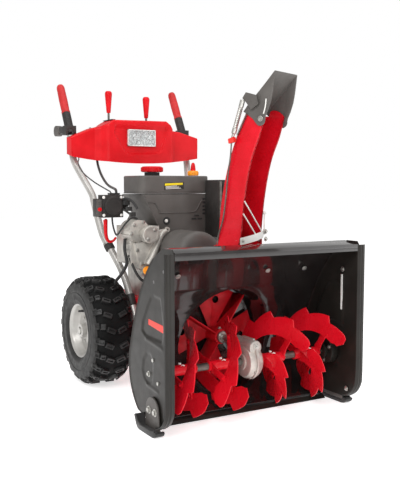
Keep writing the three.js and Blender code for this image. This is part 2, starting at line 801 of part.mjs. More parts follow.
function buildAuger() {
  const auger = groupAt(0, AUGER_Y, AUGER_Z);
  const shaftHalf = INTAKE_HALF - 4;
  const wheelBore = bar([-20, 0, 0], [20, 0, 0], SHAFT_R + GAP, 24);
  add("auger_shaft", bar([-shaftHalf, 0, 0], [shaftHalf, 0, 0], SHAFT_R, 24), "steel", auger);
  for (const [name, side, phase] of [["left", -1, -38], ["right", 1, -110]]) {
    const start = FLIGHT_START[name];
    add("auger_flight_" + name + "_inner", flight(start, side, phase), "red", auger);
    add("auger_flight_" + name + "_outer", flight(start + FLIGHT_SPACING, side, phase), "red", auger);
  }
  add("worm_wheel", cut(bar([-9, 0, 0], [9, 0, 0], 36, 30), wheelBore), "steel", auger);
}

function gearboxHousing() {
  const wheelCase = bar([-26, AUGER_Y, AUGER_Z], [26, AUGER_Y, AUGER_Z], 56, 28);
  const neck = bar([0, AUGER_Y - 42, IMPELLER_Z], [0, AUGER_Y + 66, IMPELLER_Z], 24, 20);
  const hubs = bar([-31.5, AUGER_Y, AUGER_Z], [31.5, AUGER_Y, AUGER_Z], 27, 20);
  const wheelRoom = bar([-15, AUGER_Y, AUGER_Z], [15, AUGER_Y, AUGER_Z], 40, 28);
  const shaftRoom = bar([-60, AUGER_Y, AUGER_Z], [60, AUGER_Y, AUGER_Z], SHAFT_R + GAP, 24);
  const wormRoom = bar([0, AUGER_Y - 30, IMPELLER_Z], [0, AUGER_Y + 90, IMPELLER_Z], 14, 20);
  return cut(join(wheelCase, neck, hubs), wheelRoom, shaftRoom, wormRoom);
}

function buildImpeller() {
  const fan = groupAt(0, 0, IMPELLER_Z);
  add("impeller", impeller(), "red", fan);
  const shaft = bar([0, AUGER_Y - 28, 0], [0, -338, 0], 12, 20);
  add("impeller_shaft", shaft, "steel", fan);
  const wheel = add("impeller_pulley", pulley(84, 16, 12 + GAP), "steel", fan);
  wheel.position.set(0, -349, 0);
}

function buildChute() {
  const chute = groupAt(CHUTE_X, CHUTE_Y, 0);
  chute.rotation.z = CHUTE_AIM * DEG;
  add("chute", chuteChannel(), "red", chute);
  add("chute_guard", chuteGuard(), "silver", chute);
  add("cable_adjuster", cableAdjuster(), "lens", chute);
  const hood = groupAt(0, -HINGE_U, HINGE_Z, chute);
  add("deflector", deflector(), "plastic", hood);
}

function buildWheels() {
  const wheels = groupAt(0, 0, TYRE_R);
  const half = TYRE_MID_X + TYRE_WIDTH / 2 - 12;
  add("wheel_axle", bar([-half, 0, 0], [half, 0, 0], AXLE_R, 24), "steel", wheels);
  for (const [name, side] of [["left", -1], ["right", 1]]) {
    for (const [kind, shape, colour] of [["tyre_", tyre(), "rubber"], ["rim_", rim(), "silver"]]) {
      const mesh = add(kind + name, shape, colour, wheels);
      mesh.position.x = side * TYRE_MID_X;
      mesh.rotation.y = (side * Math.PI) / 2;
    }
  }
}

function buildControls() {
  add("chassis_box", chassisBox(), "red");
  for (const [name, side] of [["left", -1], ["right", 1]]) {
    add("handlebar_" + name, handlebar(side), "silver");
    add("grip_sleeve_" + name, gripSleeve(side), "plastic");
    add("grip_" + name, grip(side), "red");
    add("lever_bracket_" + name, leverBracket(side), "plastic");
    add("clutch_lever_" + name, clutchLever(), "plastic", groupAt(side * GRIP_X, LEVER_Y, LEVER_Z));
  }
  add("dash_panel", dash(), "red");
  add("headlight", headlight(), "lens");
  add("speed_lever", dashLever(), "red", groupAt(-114, 240, 948));
  add("deflector_lever", dashLever(), "red", groupAt(58, 240, 934));
}

function buildEngine() {
  add("fuel_tank", fuelTank(), "plastic");
  add("fuel_cap", fuelCap(), "red", groupAt(-50, -32, 806));
  add("engine_shroud", engineShroud(), "plastic");
  add("engine_block", engineBlock(), "cast");
  add("starter_motor", starterMotor(), "cast");
  add("belt_cover", beltCover(), "plastic");
  add("engine_pulley", pulley(42, 16, 12 + GAP), "steel", groupAt(0, -349, CRANK_Z));
  add("crankshaft", bar([0, -358, CRANK_Z], [0, -196.4, CRANK_Z], 12, 20), "steel");
  add("drive_belt", driveBelt(IMPELLER_Z, 84.4, CRANK_Z, 42.4), "rubber");
  add("muffler", muffler(), "plastic");
  add("switch_box", switchBox(), "black");
  add("starter_lead", starterLead(), "rubber");
  add("control_cable", controlCable(), "rubber");
  add("start_button", bar([-295, -99, 667], [-295, -76, 667], 7, 16), "red");
  add("recoil_handle", recoilHandle(), "red");
  add("dipstick", bar([-168, -236, 450], [-163.2, -214.6, 444.4], 16, 16, 12), "orange");
  add("choke_knob", bar([84, -120, 792.4], [84, -120, 812], 20, 18), "orange");
}

buildIntake();
buildAuger();
add("gearbox_housing", gearboxHousing(), "cast");
buildImpeller();
buildChute();
buildWheels();
buildControls();
buildEngine();

const extent = new THREE.Box3().setFromObject(machine);
const middle = extent.getCenter(new THREE.Vector3());
machine.position.set(-middle.x, -middle.y, -extent.min.z);

export default machine;
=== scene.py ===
"""Looks for the walk-behind snow blower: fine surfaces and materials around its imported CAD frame.
Lengths in this file are in millimetres in the machine's own layout: X across, Y = 0 at the wheel axle
with the intake at -Y, and Z up from the ground. V() turns them into metres in the row frame."""

import math

import bmesh
import bpy
from mathutils import Matrix, Vector
from mathutils.geometry import interpolate_bezier


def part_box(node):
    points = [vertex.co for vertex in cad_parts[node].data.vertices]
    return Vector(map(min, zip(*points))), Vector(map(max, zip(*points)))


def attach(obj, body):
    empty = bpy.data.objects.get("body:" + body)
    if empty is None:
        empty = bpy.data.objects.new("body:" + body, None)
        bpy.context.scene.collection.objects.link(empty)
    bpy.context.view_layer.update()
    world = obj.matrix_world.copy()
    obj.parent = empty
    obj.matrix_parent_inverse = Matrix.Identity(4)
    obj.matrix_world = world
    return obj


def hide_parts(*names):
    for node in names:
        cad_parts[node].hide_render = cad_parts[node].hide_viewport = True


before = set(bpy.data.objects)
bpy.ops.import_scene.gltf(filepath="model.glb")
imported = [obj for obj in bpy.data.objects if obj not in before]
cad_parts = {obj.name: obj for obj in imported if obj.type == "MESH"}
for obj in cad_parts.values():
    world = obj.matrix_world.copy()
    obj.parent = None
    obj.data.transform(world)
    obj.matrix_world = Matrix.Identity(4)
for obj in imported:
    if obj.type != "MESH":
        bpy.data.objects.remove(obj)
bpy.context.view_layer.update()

MM = 0.001
axle_low, axle_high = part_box("wheel_axle")
AXLE_Y = (axle_low.y + axle_high.y) / 2
DEG = math.pi / 180


def V(x, y, z):
    return Vector((x * MM, y * MM + AXLE_Y, z * MM))


# ---------------------------------------------------------------- camera, light and floor
def studio():
    """The camera, a white world that lights softly, four area lights and a white floor."""
    camera = bpy.data.objects.new("camera", bpy.data.cameras.new("camera"))
    bpy.context.scene.collection.objects.link(camera)
    camera.location = V(-1342.9, -2650.6, 752.7)
    azimuth, fall = 29.95 * DEG, 4.91 * DEG
    ahead = Vector(
        (math.sin(azimuth) * math.cos(fall), math.cos(azimuth) * math.cos(fall), -math.sin(fall))
    )
    camera.rotation_euler = ahead.to_track_quat("-Z", "Y").to_euler()
    camera.data.lens = 53.6
    camera.data.sensor_width = 36
    bpy.context.scene.camera = camera

    world = bpy.data.worlds.new("studio")
    world.use_nodes = True
    tree = world.node_tree
    shown = tree.nodes["Background"]
    shown.inputs[0].default_value = (1.0, 1.0, 1.0, 1.0)
    shown.inputs[1].default_value = 1.0
    lighting = tree.nodes.new("ShaderNodeBackground")
    lighting.inputs[0].default_value = (1.0, 0.99, 0.98, 1.0)
    lighting.inputs[1].default_value = 0.5
    ray = tree.nodes.new("ShaderNodeLightPath")
    choose = tree.nodes.new("ShaderNodeMixShader")
    tree.links.new(ray.outputs["Is Camera Ray"], choose.inputs[0])
    tree.links.new(lighting.outputs[0], choose.inputs[1])
    tree.links.new(shown.outputs[0], choose.inputs[2])
    tree.links.new(choose.outputs[0], tree.nodes["World Output"].inputs[0])
    bpy.context.scene.world = world
    bpy.context.scene.view_settings.view_transform = "Standard"
    for name, place, size, power in [
        ("key", (-2200, -2600, 2900), 2.2, 80),
        ("fill", (2600, -2200, 1500), 2.6, 26),
        ("top", (0, -200, 3400), 3.0, 44),
        ("low", (-900, -3300, 350), 1.6, 14),
    ]:
        lamp = bpy.data.lights.new(name, "AREA")
        lamp.size = size
        lamp.energy = power
        holder = bpy.data.objects.new(name, lamp)
        bpy.context.scene.collection.objects.link(holder)
        holder.location = V(*place)
        aim = V(0, -250, 450) - holder.location
        holder.rotation_euler = aim.to_track_quat("-Z", "Y").to_euler()

    mesh = bpy.data.meshes.new("floor")
    reach = 14.0
    mesh.from_pydata(
        [(-reach, -reach, 0), (reach, -reach, 0), (reach, reach, 0), (-reach, reach, 0)],
        [],
        [(0, 1, 2, 3)],
    )
    floor = bpy.data.objects.new("floor", mesh)
    bpy.context.scene.collection.objects.link(floor)
    material = bpy.data.materials.new("floor_white")
    material.use_nodes = True
    shader = material.node_tree.nodes["Principled BSDF"]
    shader.inputs["Base Color"].default_value = (0.93, 0.93, 0.93, 1)
    shader.inputs["Roughness"].default_value = 0.9
    shader.inputs["Emission Color"].default_value = (1, 1, 1, 1)
    shader.inputs["Emission Strength"].default_value = 0.62
    mesh.materials.append(material)


# ---------------------------------------------------------------- materials
def plug(tree, socket, value):
    """Links a socket to another node's output, or sets its value."""
    if isinstance(value, bpy.types.NodeSocket):
        tree.links.new(value, socket)
    else:
        socket.default_value = value


def add(tree, kind, inputs):
    """A shader node of a kind, with its inputs linked or set by name."""
    made = tree.nodes.new("ShaderNode" + kind)
    for name, value in inputs.items():
        plug(tree, made.inputs[name], value)
    return made


def ramp_between(tree, factor, low, dark, high, light):
    """Goes from a dark colour at one place on a 0 to 1 factor to a light one at another."""
    ramp = add(tree, "ValToRGB", {"Fac": factor})
    for stop, place, shade in zip(ramp.color_ramp.elements, (low, high), (dark, light)):
        stop.position = place
        stop.color = (*shade, 1)
    return ramp.outputs["Color"]


def finish_material(
    name,
    dark,
    light,
    rough=(0.3, 0.4),
    metal=0.0,
    coat=0.0,
    grain=900.0,
    bump=0.05,
    depth=0.0004,
    patch=14.0,
    sheen=0.0,
    shine=0.35,
    upward_tint=None,
):
    """A surface with a slow drift of colour, a roughness that varies and a fine grain."""
    material = bpy.data.materials.new(name)
    material.use_nodes = True
    tree = material.node_tree
    shader = tree.nodes["Principled BSDF"]
    where = tree.nodes.new("ShaderNodeTexCoord").outputs["Object"]
    drift = add(tree, "TexNoise", {"Scale": patch, "Detail": 4.0, "Vector": where})
    colour_from = ramp_between(tree, drift.outputs["Fac"], 0.35, dark, 0.65, light)
    if upward_tint:
        # a lighter speckled tint on faces that look up
        facing = tree.nodes.new("ShaderNodeNewGeometry")
        split = add(tree, "SeparateXYZ", {"Vector": facing.outputs["Normal"]})
        specks = add(tree, "TexNoise", {"Scale": 60, "Detail": 8, "Vector": where})
        amount = tree.nodes.new("ShaderNodeMath")
        amount.operation = "MULTIPLY"
        plug(tree, amount.inputs[0], specks.outputs["Fac"])
        plug(tree, amount.inputs[1], split.outputs["Z"])
        level = ramp_between(tree, amount.outputs[0], 0.35, (0, 0, 0), 0.75, (0.5, 0.5, 0.5))
        mix = tree.nodes.new("ShaderNodeMix")
        mix.data_type = "RGBA"
        for socket, value in (("Factor", level), ("A", colour_from), ("B", (*upward_tint, 1))):
            plug(tree, mix.inputs[socket], value)
        colour_from = mix.outputs["Result"]
    fine = add(tree, "TexNoise", {"Scale": grain, "Detail": 3, "Vector": where})
    smear = add(tree, "TexNoise", {"Scale": patch * 2.3, "Detail": 5, "Vector": where})
    span = {"Value": smear.outputs["Fac"], "From Min": 0.3, "From Max": 0.7}
    span |= {"To Min": rough[0], "To Max": rough[1]}
    relief = {"Strength": bump, "Distance": depth, "Height": fine.outputs["Fac"]}
    for socket, value in {
        "Base Color": colour_from,
        "Roughness": add(tree, "MapRange", span).outputs["Result"],
        "Normal": add(tree, "Bump", relief).outputs["Normal"],
        "Metallic": metal,
        "Coat Weight": coat,
        "Coat Roughness": 0.06,
        "Sheen Weight": sheen,
        "Specular IOR Level": shine,
    }.items():
        plug(tree, shader.inputs[socket], value)
    return material


# name, darker and lighter colour, roughness range, and what differs from the plain finish
FINISHES = {
    "red": ("red_paint", (0.58, 0.005, 0.013), (0.68, 0.008, 0.02), (0.22, 0.34),
        dict(coat=0.12, bump=0.05, grain=500, shine=0.2)),
    "deep_red": ("red_worn_paint", (0.5, 0.006, 0.012), (0.72, 0.012, 0.022), (0.28, 0.45),
        dict(coat=0.1, bump=0.1, grain=350, patch=22, shine=0.2)),
    "red_plastic": ("red_moulding", (0.58, 0.004, 0.008), (0.68, 0.008, 0.014), (0.3, 0.4),
        dict(coat=0.05, bump=0.12, grain=1400, shine=0.15)),
    "grip": ("red_grip", (0.44, 0.022, 0.022), (0.54, 0.034, 0.034), (0.42, 0.55),
        dict(bump=0.25, grain=1800, shine=0.2)),
    "black": ("black_powder_coat", (0.014, 0.0125, 0.0105), (0.021, 0.0185, 0.016), (0.3, 0.42),
        dict(coat=0.05, bump=0.12, grain=1200, shine=0.24, upward_tint=(0.045, 0.041, 0.036))),
    "gloss_black": ("black_gloss_paint", (0.012, 0.01, 0.01), (0.022, 0.019, 0.018), (0.1, 0.2),
        dict(coat=0.8, bump=0.03)),
    "gray": ("gray_plastic", (0.085, 0.078, 0.072), (0.11, 0.101, 0.094), (0.42, 0.55),
        dict(bump=0.35, grain=1500)),
    "dark": ("dark_plastic", (0.02, 0.018, 0.017), (0.036, 0.032, 0.03), (0.45, 0.6),
        dict(bump=0.3, grain=1300)),
    "rubber": ("black_rubber", (0.014, 0.014, 0.014), (0.028, 0.027, 0.026), (0.5, 0.7),
        dict(bump=0.3, grain=1600, sheen=0.15)),
    "tyre": ("tyre_rubber", (0.018, 0.0178, 0.0175), (0.034, 0.033, 0.032), (0.42, 0.62),
        dict(bump=0.35, grain=700, patch=30, shine=0.25, upward_tint=(0.05, 0.049, 0.048))),
    "tread": ("tread_rubber", (0.011, 0.011, 0.011), (0.019, 0.018, 0.018), (0.34, 0.5),
        dict(bump=0.2, grain=900, shine=0.5)),
    # the crown between the lugs, darker than the tyre's rubber: painted shade in the grooves
    "groove_painted_shade": ("groove_painted_shade_rubber", (0.006, 0.006, 0.006), (0.01, 0.01, 0.01), (0.6, 0.8),
        dict(bump=0.3, grain=700, shine=0.1)),
    "silver": ("silver_paint", (0.4, 0.39, 0.37), (0.5, 0.485, 0.46), (0.28, 0.4),
        dict(metal=0.35, coat=0.2, bump=0.08)),
    "cast": ("cast_aluminium", (0.42, 0.4, 0.37), (0.6, 0.57, 0.52), (0.38, 0.58),
        dict(metal=0.55, bump=0.6, grain=420, depth=0.0008, patch=26)),
    "steel": ("zinc_steel", (0.4, 0.39, 0.36), (0.56, 0.55, 0.52), (0.25, 0.42),
        dict(metal=0.85, bump=0.15, patch=40)),
    "dark_steel": ("oiled_steel", (0.1, 0.095, 0.085), (0.2, 0.19, 0.17), (0.35, 0.5),
        dict(metal=0.7, bump=0.2, patch=40)),
    "white": ("white_zinc", (0.78, 0.76, 0.72), (0.88, 0.87, 0.84), (0.25, 0.35),
        dict(metal=0.1, coat=0.3, bump=0.05)),
    "orange": ("orange_plastic", (0.85, 0.26, 0.008), (0.95, 0.36, 0.015), (0.28, 0.4),
        dict(coat=0.2, bump=0.1)),
    "yellow": ("yellow_print", (0.8, 0.6, 0.01), (0.88, 0.68, 0.02), (0.4, 0.5), dict(bump=0.05)),
    "decal_red": ("red_print", (0.72, 0.035, 0.025), (0.8, 0.06, 0.04), (0.35, 0.45), dict(bump=0.08)),
    "chrome": ("lamp_reflector", (0.52, 0.52, 0.51), (0.8, 0.8, 0.78), (0.22, 0.34),
        dict(metal=0.25, bump=0.02, patch=70)),
}
M = {
    key: finish_material(name, dark, light, rough, **extra)
    for key, (name, dark, light, rough, extra) in FINISHES.items()
}



def lens_material():
    """Clear plastic with fine upright ripples."""
    material = bpy.data.materials.new("clear_lens")
    material.use_nodes = True
    tree = material.node_tree
    shader = tree.nodes["Principled BSDF"]
    where = tree.nodes.new("ShaderNodeTexCoord").outputs["Object"]
    waves = add(tree, "TexWave", {"Scale": 90, "Vector": where})
    waves.bands_direction = "X"
    relief = {"Strength": 0.15, "Distance": 0.0005, "Height": waves.outputs["Fac"]}
    plug(tree, shader.inputs["Normal"], add(tree, "Bump", relief).outputs["Normal"])
    shader.inputs["Base Color"].default_value = (0.95, 0.97, 0.98, 1)
    shader.inputs["Transmission Weight"].default_value = 0.97
    shader.inputs["Roughness"].default_value = 0.08
    shader.inputs["IOR"].default_value = 1.3
    return material


M["lens"] = lens_material()


# ---------------------------------------------------------------- building in mesh code
def spline(points, per=8, closed=False):
    """A Catmull-Rom line through points of any dimension."""
    p = [Vector(q) for q in points]
    n = len(p)
    out = []
    for i in range(n if closed else n - 1):
        a = p[(i - 1) % n] if closed or i > 0 else p[0] * 2 - p[1]
        b, c = p[i], p[(i + 1) % n]
        d = p[(i + 2) % n] if closed or i + 2 < n else p[-1] * 2 - p[-2]
        for k in range(per):
            t = k / per
            out.append(
                0.5
                * (
                    (2 * b)
                    + (c - a) * t
                    + (2 * a - 5 * b + 4 * c - d) * t * t
                    + (3 * b - a - 3 * c + d) * t * t * t
                )
            )
    if not closed:
        out.append(p[-1])
    return out


def arc(cx, cy, r, start, end, steps):
    """Points round a circle, angles in degrees."""
    return [
        (
            cx + r * math.cos((start + (end - start) * i / steps) * DEG),
            cy + r * math.sin((start + (end - start) * i / steps) * DEG),
        )
        for i in range(steps + 1)
    ]


def heading(line, i):
    """Unit direction of a line of points, taken across the neighbours of one point."""
    before, after = line[max(i - 1, 0)], line[min(i + 1, len(line) - 1)]
    return Vector([q - p for p, q in zip(before, after)]).normalized()


def smooth_step(t):
    """Eases from 0 to 1 as t does."""
    t = min(max(t, 0.0), 1.0)
    return t * t * (3 - 2 * t)


def along(axis):
    """A turn that takes +Z to an axis."""
    return Vector((0, 0, 1)).rotation_difference(Vector(axis).normalized()).to_matrix().to_4x4()


def ring_faces(count, n):
    """Faces that join rings of n points, each ring to the next."""
    return [
        (i * n + k, i * n + (k + 1) % n, (i + 1) * n + (k + 1) % n, (i + 1) * n + k)
        for i in range(count - 1)
        for k in range(n)
    ]


def stand(at, axis, turn=None):
    """The move that stands a shape built up +Z on a point, along an axis."""
    move = Matrix.Translation(Vector(at)) @ along(axis)
    return move if turn is None else turn @ move


class Piece:
    """Collects closed shapes in millimetres, then makes one object of them."""

    def __init__(self, place=None):
        self.bm = bmesh.new()
        self.place = place or Matrix.Identity(4)
        self.slot = 0
        self.materials = []

    def use(self, finish):
        material = M[finish]
        if material not in self.materials:
            self.materials.append(material)
        self.slot = self.materials.index(material)
        return self

    def put(self, verts, faces, bevel=0.0, segments=2, sharp=30.0, turn=None):
        part = bmesh.new()
        made = [part.verts.new(Vector(v)) for v in verts]
        for face in faces:
            try:
                part.faces.new([made[i] for i in face])
            except ValueError:
                pass
        bmesh.ops.recalc_face_normals(part, faces=part.faces[:])
        if bevel:
            edges = [
                e for e in part.edges if len(e.link_faces) == 2 and e.calc_face_angle(0) > sharp * DEG
            ]
            bmesh.ops.bevel(
                part,
                geom=edges,
                offset=bevel,
                segments=segments,
                profile=0.6,
                affect="EDGES",
                clamp_overlap=True,
            )
        if turn is not None:
            part.transform(turn)
        part.transform(self.place)
        for face in part.faces:
            face.material_index = self.slot
            face.smooth = True
        scratch = bpy.data.meshes.new("scratch")
        part.to_mesh(scratch)
        part.free()
        self.bm.from_mesh(scratch)
        bpy.data.meshes.remove(scratch)
        return self

    def prism(self, outline, axis, low, high, bevel=1.0, segments=2, turn=None, sharp=30.0):
        """An outline in the two other axes, in X, Y, Z order, made solid along axis."""
        n = len(outline)
        low, high = sorted((low, high))
        place = {
            "x": lambda a, b, c: (c, a, b),
            "y": lambda a, b, c: (a, c, b),
            "z": lambda a, b, c: (a, b, c),
        }[axis]
        verts = [place(a, b, low) for a, b in outline] + [place(a, b, high) for a, b in outline]
        faces = [tuple(range(n)), tuple(range(2 * n - 1, n - 1, -1))]
        faces += [(i, (i + 1) % n, n + (i + 1) % n, n + i) for i in range(n)]
        return self.put(verts, faces, bevel, segments, sharp, turn)

    def block(self, x0, x1, y0, y1, z0, z1, bevel=1.0, segments=2, turn=None):
        return self.prism([(x0, y0), (x1, y0), (x1, y1), (x0, y1)], "z", z0, z1, bevel, segments, turn)

    def lathe(self, profile, at=(0, 0, 0), axis=(0, 0, 1), steps=48, turn=None):
        """A closed or axis-to-axis profile of (radius, height), turned round an axis."""
        verts, rings = [], []
        for r, h in profile:
            if r < 1e-6:
                rings.append([len(verts)] * steps)
                verts.append((0, 0, h))
            else:
                rings.append(list(range(len(verts), len(verts) + steps)))
                for k in range(steps):
                    a = 2 * math.pi * k / steps
                    verts.append((r * math.cos(a), r * math.sin(a), h))
        faces = []
        closed = profile[0][0] > 1e-6
        count = len(profile)
        for i in range(count if closed else count - 1):
            low, high = rings[i], rings[(i + 1) % count]
            for k in range(steps):
                j = (k + 1) % steps
                face = []
                for v in (low[k], low[j], high[j], high[k]):
                    if v not in face:
                        face.append(v)
                if len(face) > 2:
                    faces.append(tuple(face))
        return self.put(verts, faces, turn=stand(at, axis, turn))

    def loft(self, rings, caps=True, bevel=0.0, segments=2, sharp=30.0, turn=None):
        """A skin through closed rings of points, capped at both ends."""
        count, n = len(rings), len(rings[0])
        faces = ring_faces(count, n)
        if caps:
            faces += [tuple(range(n)), tuple(range((count - 1) * n, count * n))]
        return self.put([p for ring in rings for p in ring], faces, bevel, segments, sharp, turn)

    def sweep(self, path, radius, sides=16, per=6, turn=None):
        """A round bar along a smooth path; radius is a number or a function of 0 to 1."""
        line = spline(path, per) if per > 1 else [Vector(p) for p in path]
        rings, side = [], None
        for i, point in enumerate(line):
            way = heading(line, i)
            if side is None:
                side = way.orthogonal().normalized()
            side = (side - way * side.dot(way)).normalized()
            up = way.cross(side)
            r = radius(i / (len(line) - 1)) if callable(radius) else radius
            turns = [2 * math.pi * k / sides for k in range(sides)]
            rings.append([point + side * (r * math.cos(a)) + up * (r * math.sin(a)) for a in turns])
        return self.loft(rings, turn=turn)

    def grid(self, rows, close_rows=False, close_columns=False, turn=None):
        """A skin through rows of points."""
        m, n = len(rows), len(rows[0])
        verts = [p for row in rows for p in row]
        faces = []
        for i in range(m if close_rows else m - 1):
            for k in range(n if close_columns else n - 1):
                a, b = i, (i + 1) % m
                c = (k + 1) % n
                faces.append((a * n + k, a * n + c, b * n + c, b * n + k))
        return self.put(verts, faces, turn=turn)

    def bolt(self, at, axis, r=8.0, head=5.0, washer=True, turn=None):
        """A hexagon head on a washer, standing on the surface at a point."""
        move = stand(at, axis, turn)
        if washer:
            w = r * 1.45
            self.lathe([(0, 0), (w, 0), (w, 1.2), (w - 0.6, 1.6), (0, 1.6)], steps=24, turn=move)
        corners = [(r * math.cos(k * 60 * DEG), r * math.sin(k * 60 * DEG)) for k in range(6)]
        return self.prism(corners, "z", 1.2, 1.2 + head, bevel=r * 0.12, turn=move)

    def done(self, name, body, material=None, replaces=(), slot=None, sharp=32.0):
        self.bm.transform(Matrix.Translation(Vector((0, AXLE_Y, 0))) @ Matrix.Diagonal((MM, MM, MM, 1)))
        mesh = bpy.data.meshes.new(name)
        self.bm.to_mesh(mesh)
        self.bm.free()
        mesh.set_sharp_from_angle(angle=sharp * DEG)
        for each in self.materials or [material]:
            mesh.materials.append(each)
        made = bpy.data.objects.new(name, mesh)
        bpy.context.scene.collection.objects.link(made)
        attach(made, body)
        if replaces:
            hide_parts(*replaces)
        return made


# ---------------------------------------------------------------- CAD nodes that stay
def smooth_group():
    """Smooth faces, with edges left sharp past an angle."""
    tree = bpy.data.node_groups.new("smooth_by_angle", "GeometryNodeTree")
    tree.interface.new_socket("Geometry", in_out="INPUT", socket_type="NodeSocketGeometry")
    tree.interface.new_socket("Geometry", in_out="OUTPUT", socket_type="NodeSocketGeometry")
    start = tree.nodes.new("NodeGroupInput")
    end = tree.nodes.new("NodeGroupOutput")
    faces = tree.nodes.new("GeometryNodeSetShadeSmooth")
    edges = tree.nodes.new("GeometryNodeSetShadeSmooth")
    edges.domain = "EDGE"
    angle = tree.nodes.new("GeometryNodeInputMeshEdgeAngle")
    flat = tree.nodes.new("FunctionNodeCompare")
    flat.operation = "LESS_THAN"
    flat.inputs["B"].default_value = 34 * DEG
    tree.links.new(angle.outputs["Unsigned Angle"], flat.inputs["A"])
    tree.links.new(start.outputs[0], faces.inputs["Geometry"])
    tree.links.new(faces.outputs[0], edges.inputs["Geometry"])
    tree.links.new(flat.outputs["Result"], edges.inputs["Shade Smooth"])
    tree.links.new(edges.outputs[0], end.inputs[0])
    return tree


SMOOTH = smooth_group()


def dress(node, material, bevel=1.2, segments=2):
    """Rounds a CAD node's edges with modifiers and gives it a finish."""
    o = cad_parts[node]
    o.data.materials.clear()
    o.data.materials.append(material)
    weld = o.modifiers.new("weld", "WELD")
    weld.merge_threshold = 0.00002
    flat = o.modifiers.new("flat", "DECIMATE")
    flat.decimate_type = "DISSOLVE"
    flat.angle_limit = 0.5 * DEG
    if bevel:
        edge = o.modifiers.new("bevel", "BEVEL")
        edge.width = bevel * MM
        edge.segments = segments
        edge.limit_method = "ANGLE"
        edge.angle_limit = 34 * DEG
        edge.use_clamp_overlap = True
    smooth = o.modifiers.new("smooth", "NODES")
    smooth.node_group = SMOOTH
    return o


studio()

# each finish and edge rounding in millimetres, with the CAD nodes that take it
DRESSED = {
    ("gloss_black", 1.0): "auger_housing impeller_drum",
    ("black", 1.0): "side_plate_left side_plate_right scraper_bar",
    ("black", 1.5): "skid_left skid_right",
    ("black", 2.0): "auger_bearing_left auger_bearing_right",
    ("dark_steel", 1.0): "auger_shaft",
    ("red", 0.8): (
        "auger_flight_left_inner auger_flight_left_outer auger_flight_right_inner "
        "auger_flight_right_outer chute"
    ),
    ("steel", 0.6): "worm_wheel",
    ("cast", 2.0): "gearbox_housing engine_block starter_motor",
    ("deep_red", 0.8): "impeller",
    ("steel", 0.8): "impeller_shaft wheel_axle crankshaft",
    ("steel", 0.5): "impeller_pulley engine_pulley",
    ("white", 0.6): "chute_guard cable_adjuster",
    ("gray", 1.2): "deflector",
    ("tyre", 2.0): "tyre_left tyre_right",
    ("silver", 1.0): "rim_left rim_right",
    ("red", 2.0): "chassis_box",
    ("silver", 0.0): "handlebar_left handlebar_right",
    ("dark", 1.0): "grip_sleeve_left grip_sleeve_right",
    ("grip", 1.0): "grip_left grip_right",
    ("dark", 2.0): "lever_bracket_left lever_bracket_right switch_box",
    ("gray", 2.0): "clutch_lever_left clutch_lever_right",
    ("red_plastic", 4.0): "dash_panel",
    ("chrome", 1.0): "headlight",
    ("red_plastic", 1.0): "speed_lever deflector_lever",
    ("gray", 5.0): "fuel_tank",
    ("red_plastic", 2.0): "fuel_cap",
    ("gray", 4.0): "engine_shroud belt_cover",
    ("rubber", 0.6): "drive_belt",
    ("dark", 3.0): "muffler",
    ("rubber", 0.0): "starter_lead control_cable",
    ("red_plastic", 0.8): "start_button recoil_handle",
    ("orange", 1.0): "dipstick choke_knob",
}
for (_finish, _bevel), _names in DRESSED.items():
    for _node in _names.split():
        dress(_node, M[_finish], _bevel)

SIDES = (("left", -1), ("right", 1))

# ---------------------------------------------------------------- wheels
TYRE_R, TYRE_MID = 205.0, 276.0
SHOULDER = 44.0  # where the tread starts to fall away, from its middle


def tread_height(across):
    """Radius of the lugs' tops at a distance from the tyre's middle."""
    past = max(abs(across) - SHOULDER, 0.0) / 37.0
    return TYRE_R - 27.0 * past**1.8


def tread_block(piece, turn, across, angle, length, width, slant):
    """One rubber block of the tread, square edged, with a pocket moulded in its top."""
    outline = [(-1, -0.8), (-0.9, -1), (0.9, -1), (1, -0.8), (1, 0.8), (0.9, 1), (-0.9, 1), (-1, 0.8)]
    rings = [(1.10, 1.16, -13.0), (1.0, 1.0, -0.8), (0.95, 0.91, 0.0), (0.66, 0.46, 0.0),
        (0.62, 0.38, -4.5)]
    blocks = []
    for long_scale, wide_scale, lift in rings:
        ring = []
        for u, v in outline:
            u, v = u * length / 2 * long_scale, v * width / 2 * wide_scale
            a = across + u * math.cos(slant * DEG) - v * math.sin(slant * DEG)
            around = u * math.sin(slant * DEG) + v * math.cos(slant * DEG)
            t = (angle + around / (TYRE_R * DEG)) * DEG
            r = tread_height(a) + lift
            ring.append((r * math.cos(t), r * math.sin(t), a))
        blocks.append(ring)
    piece.loft(blocks, turn=turn)


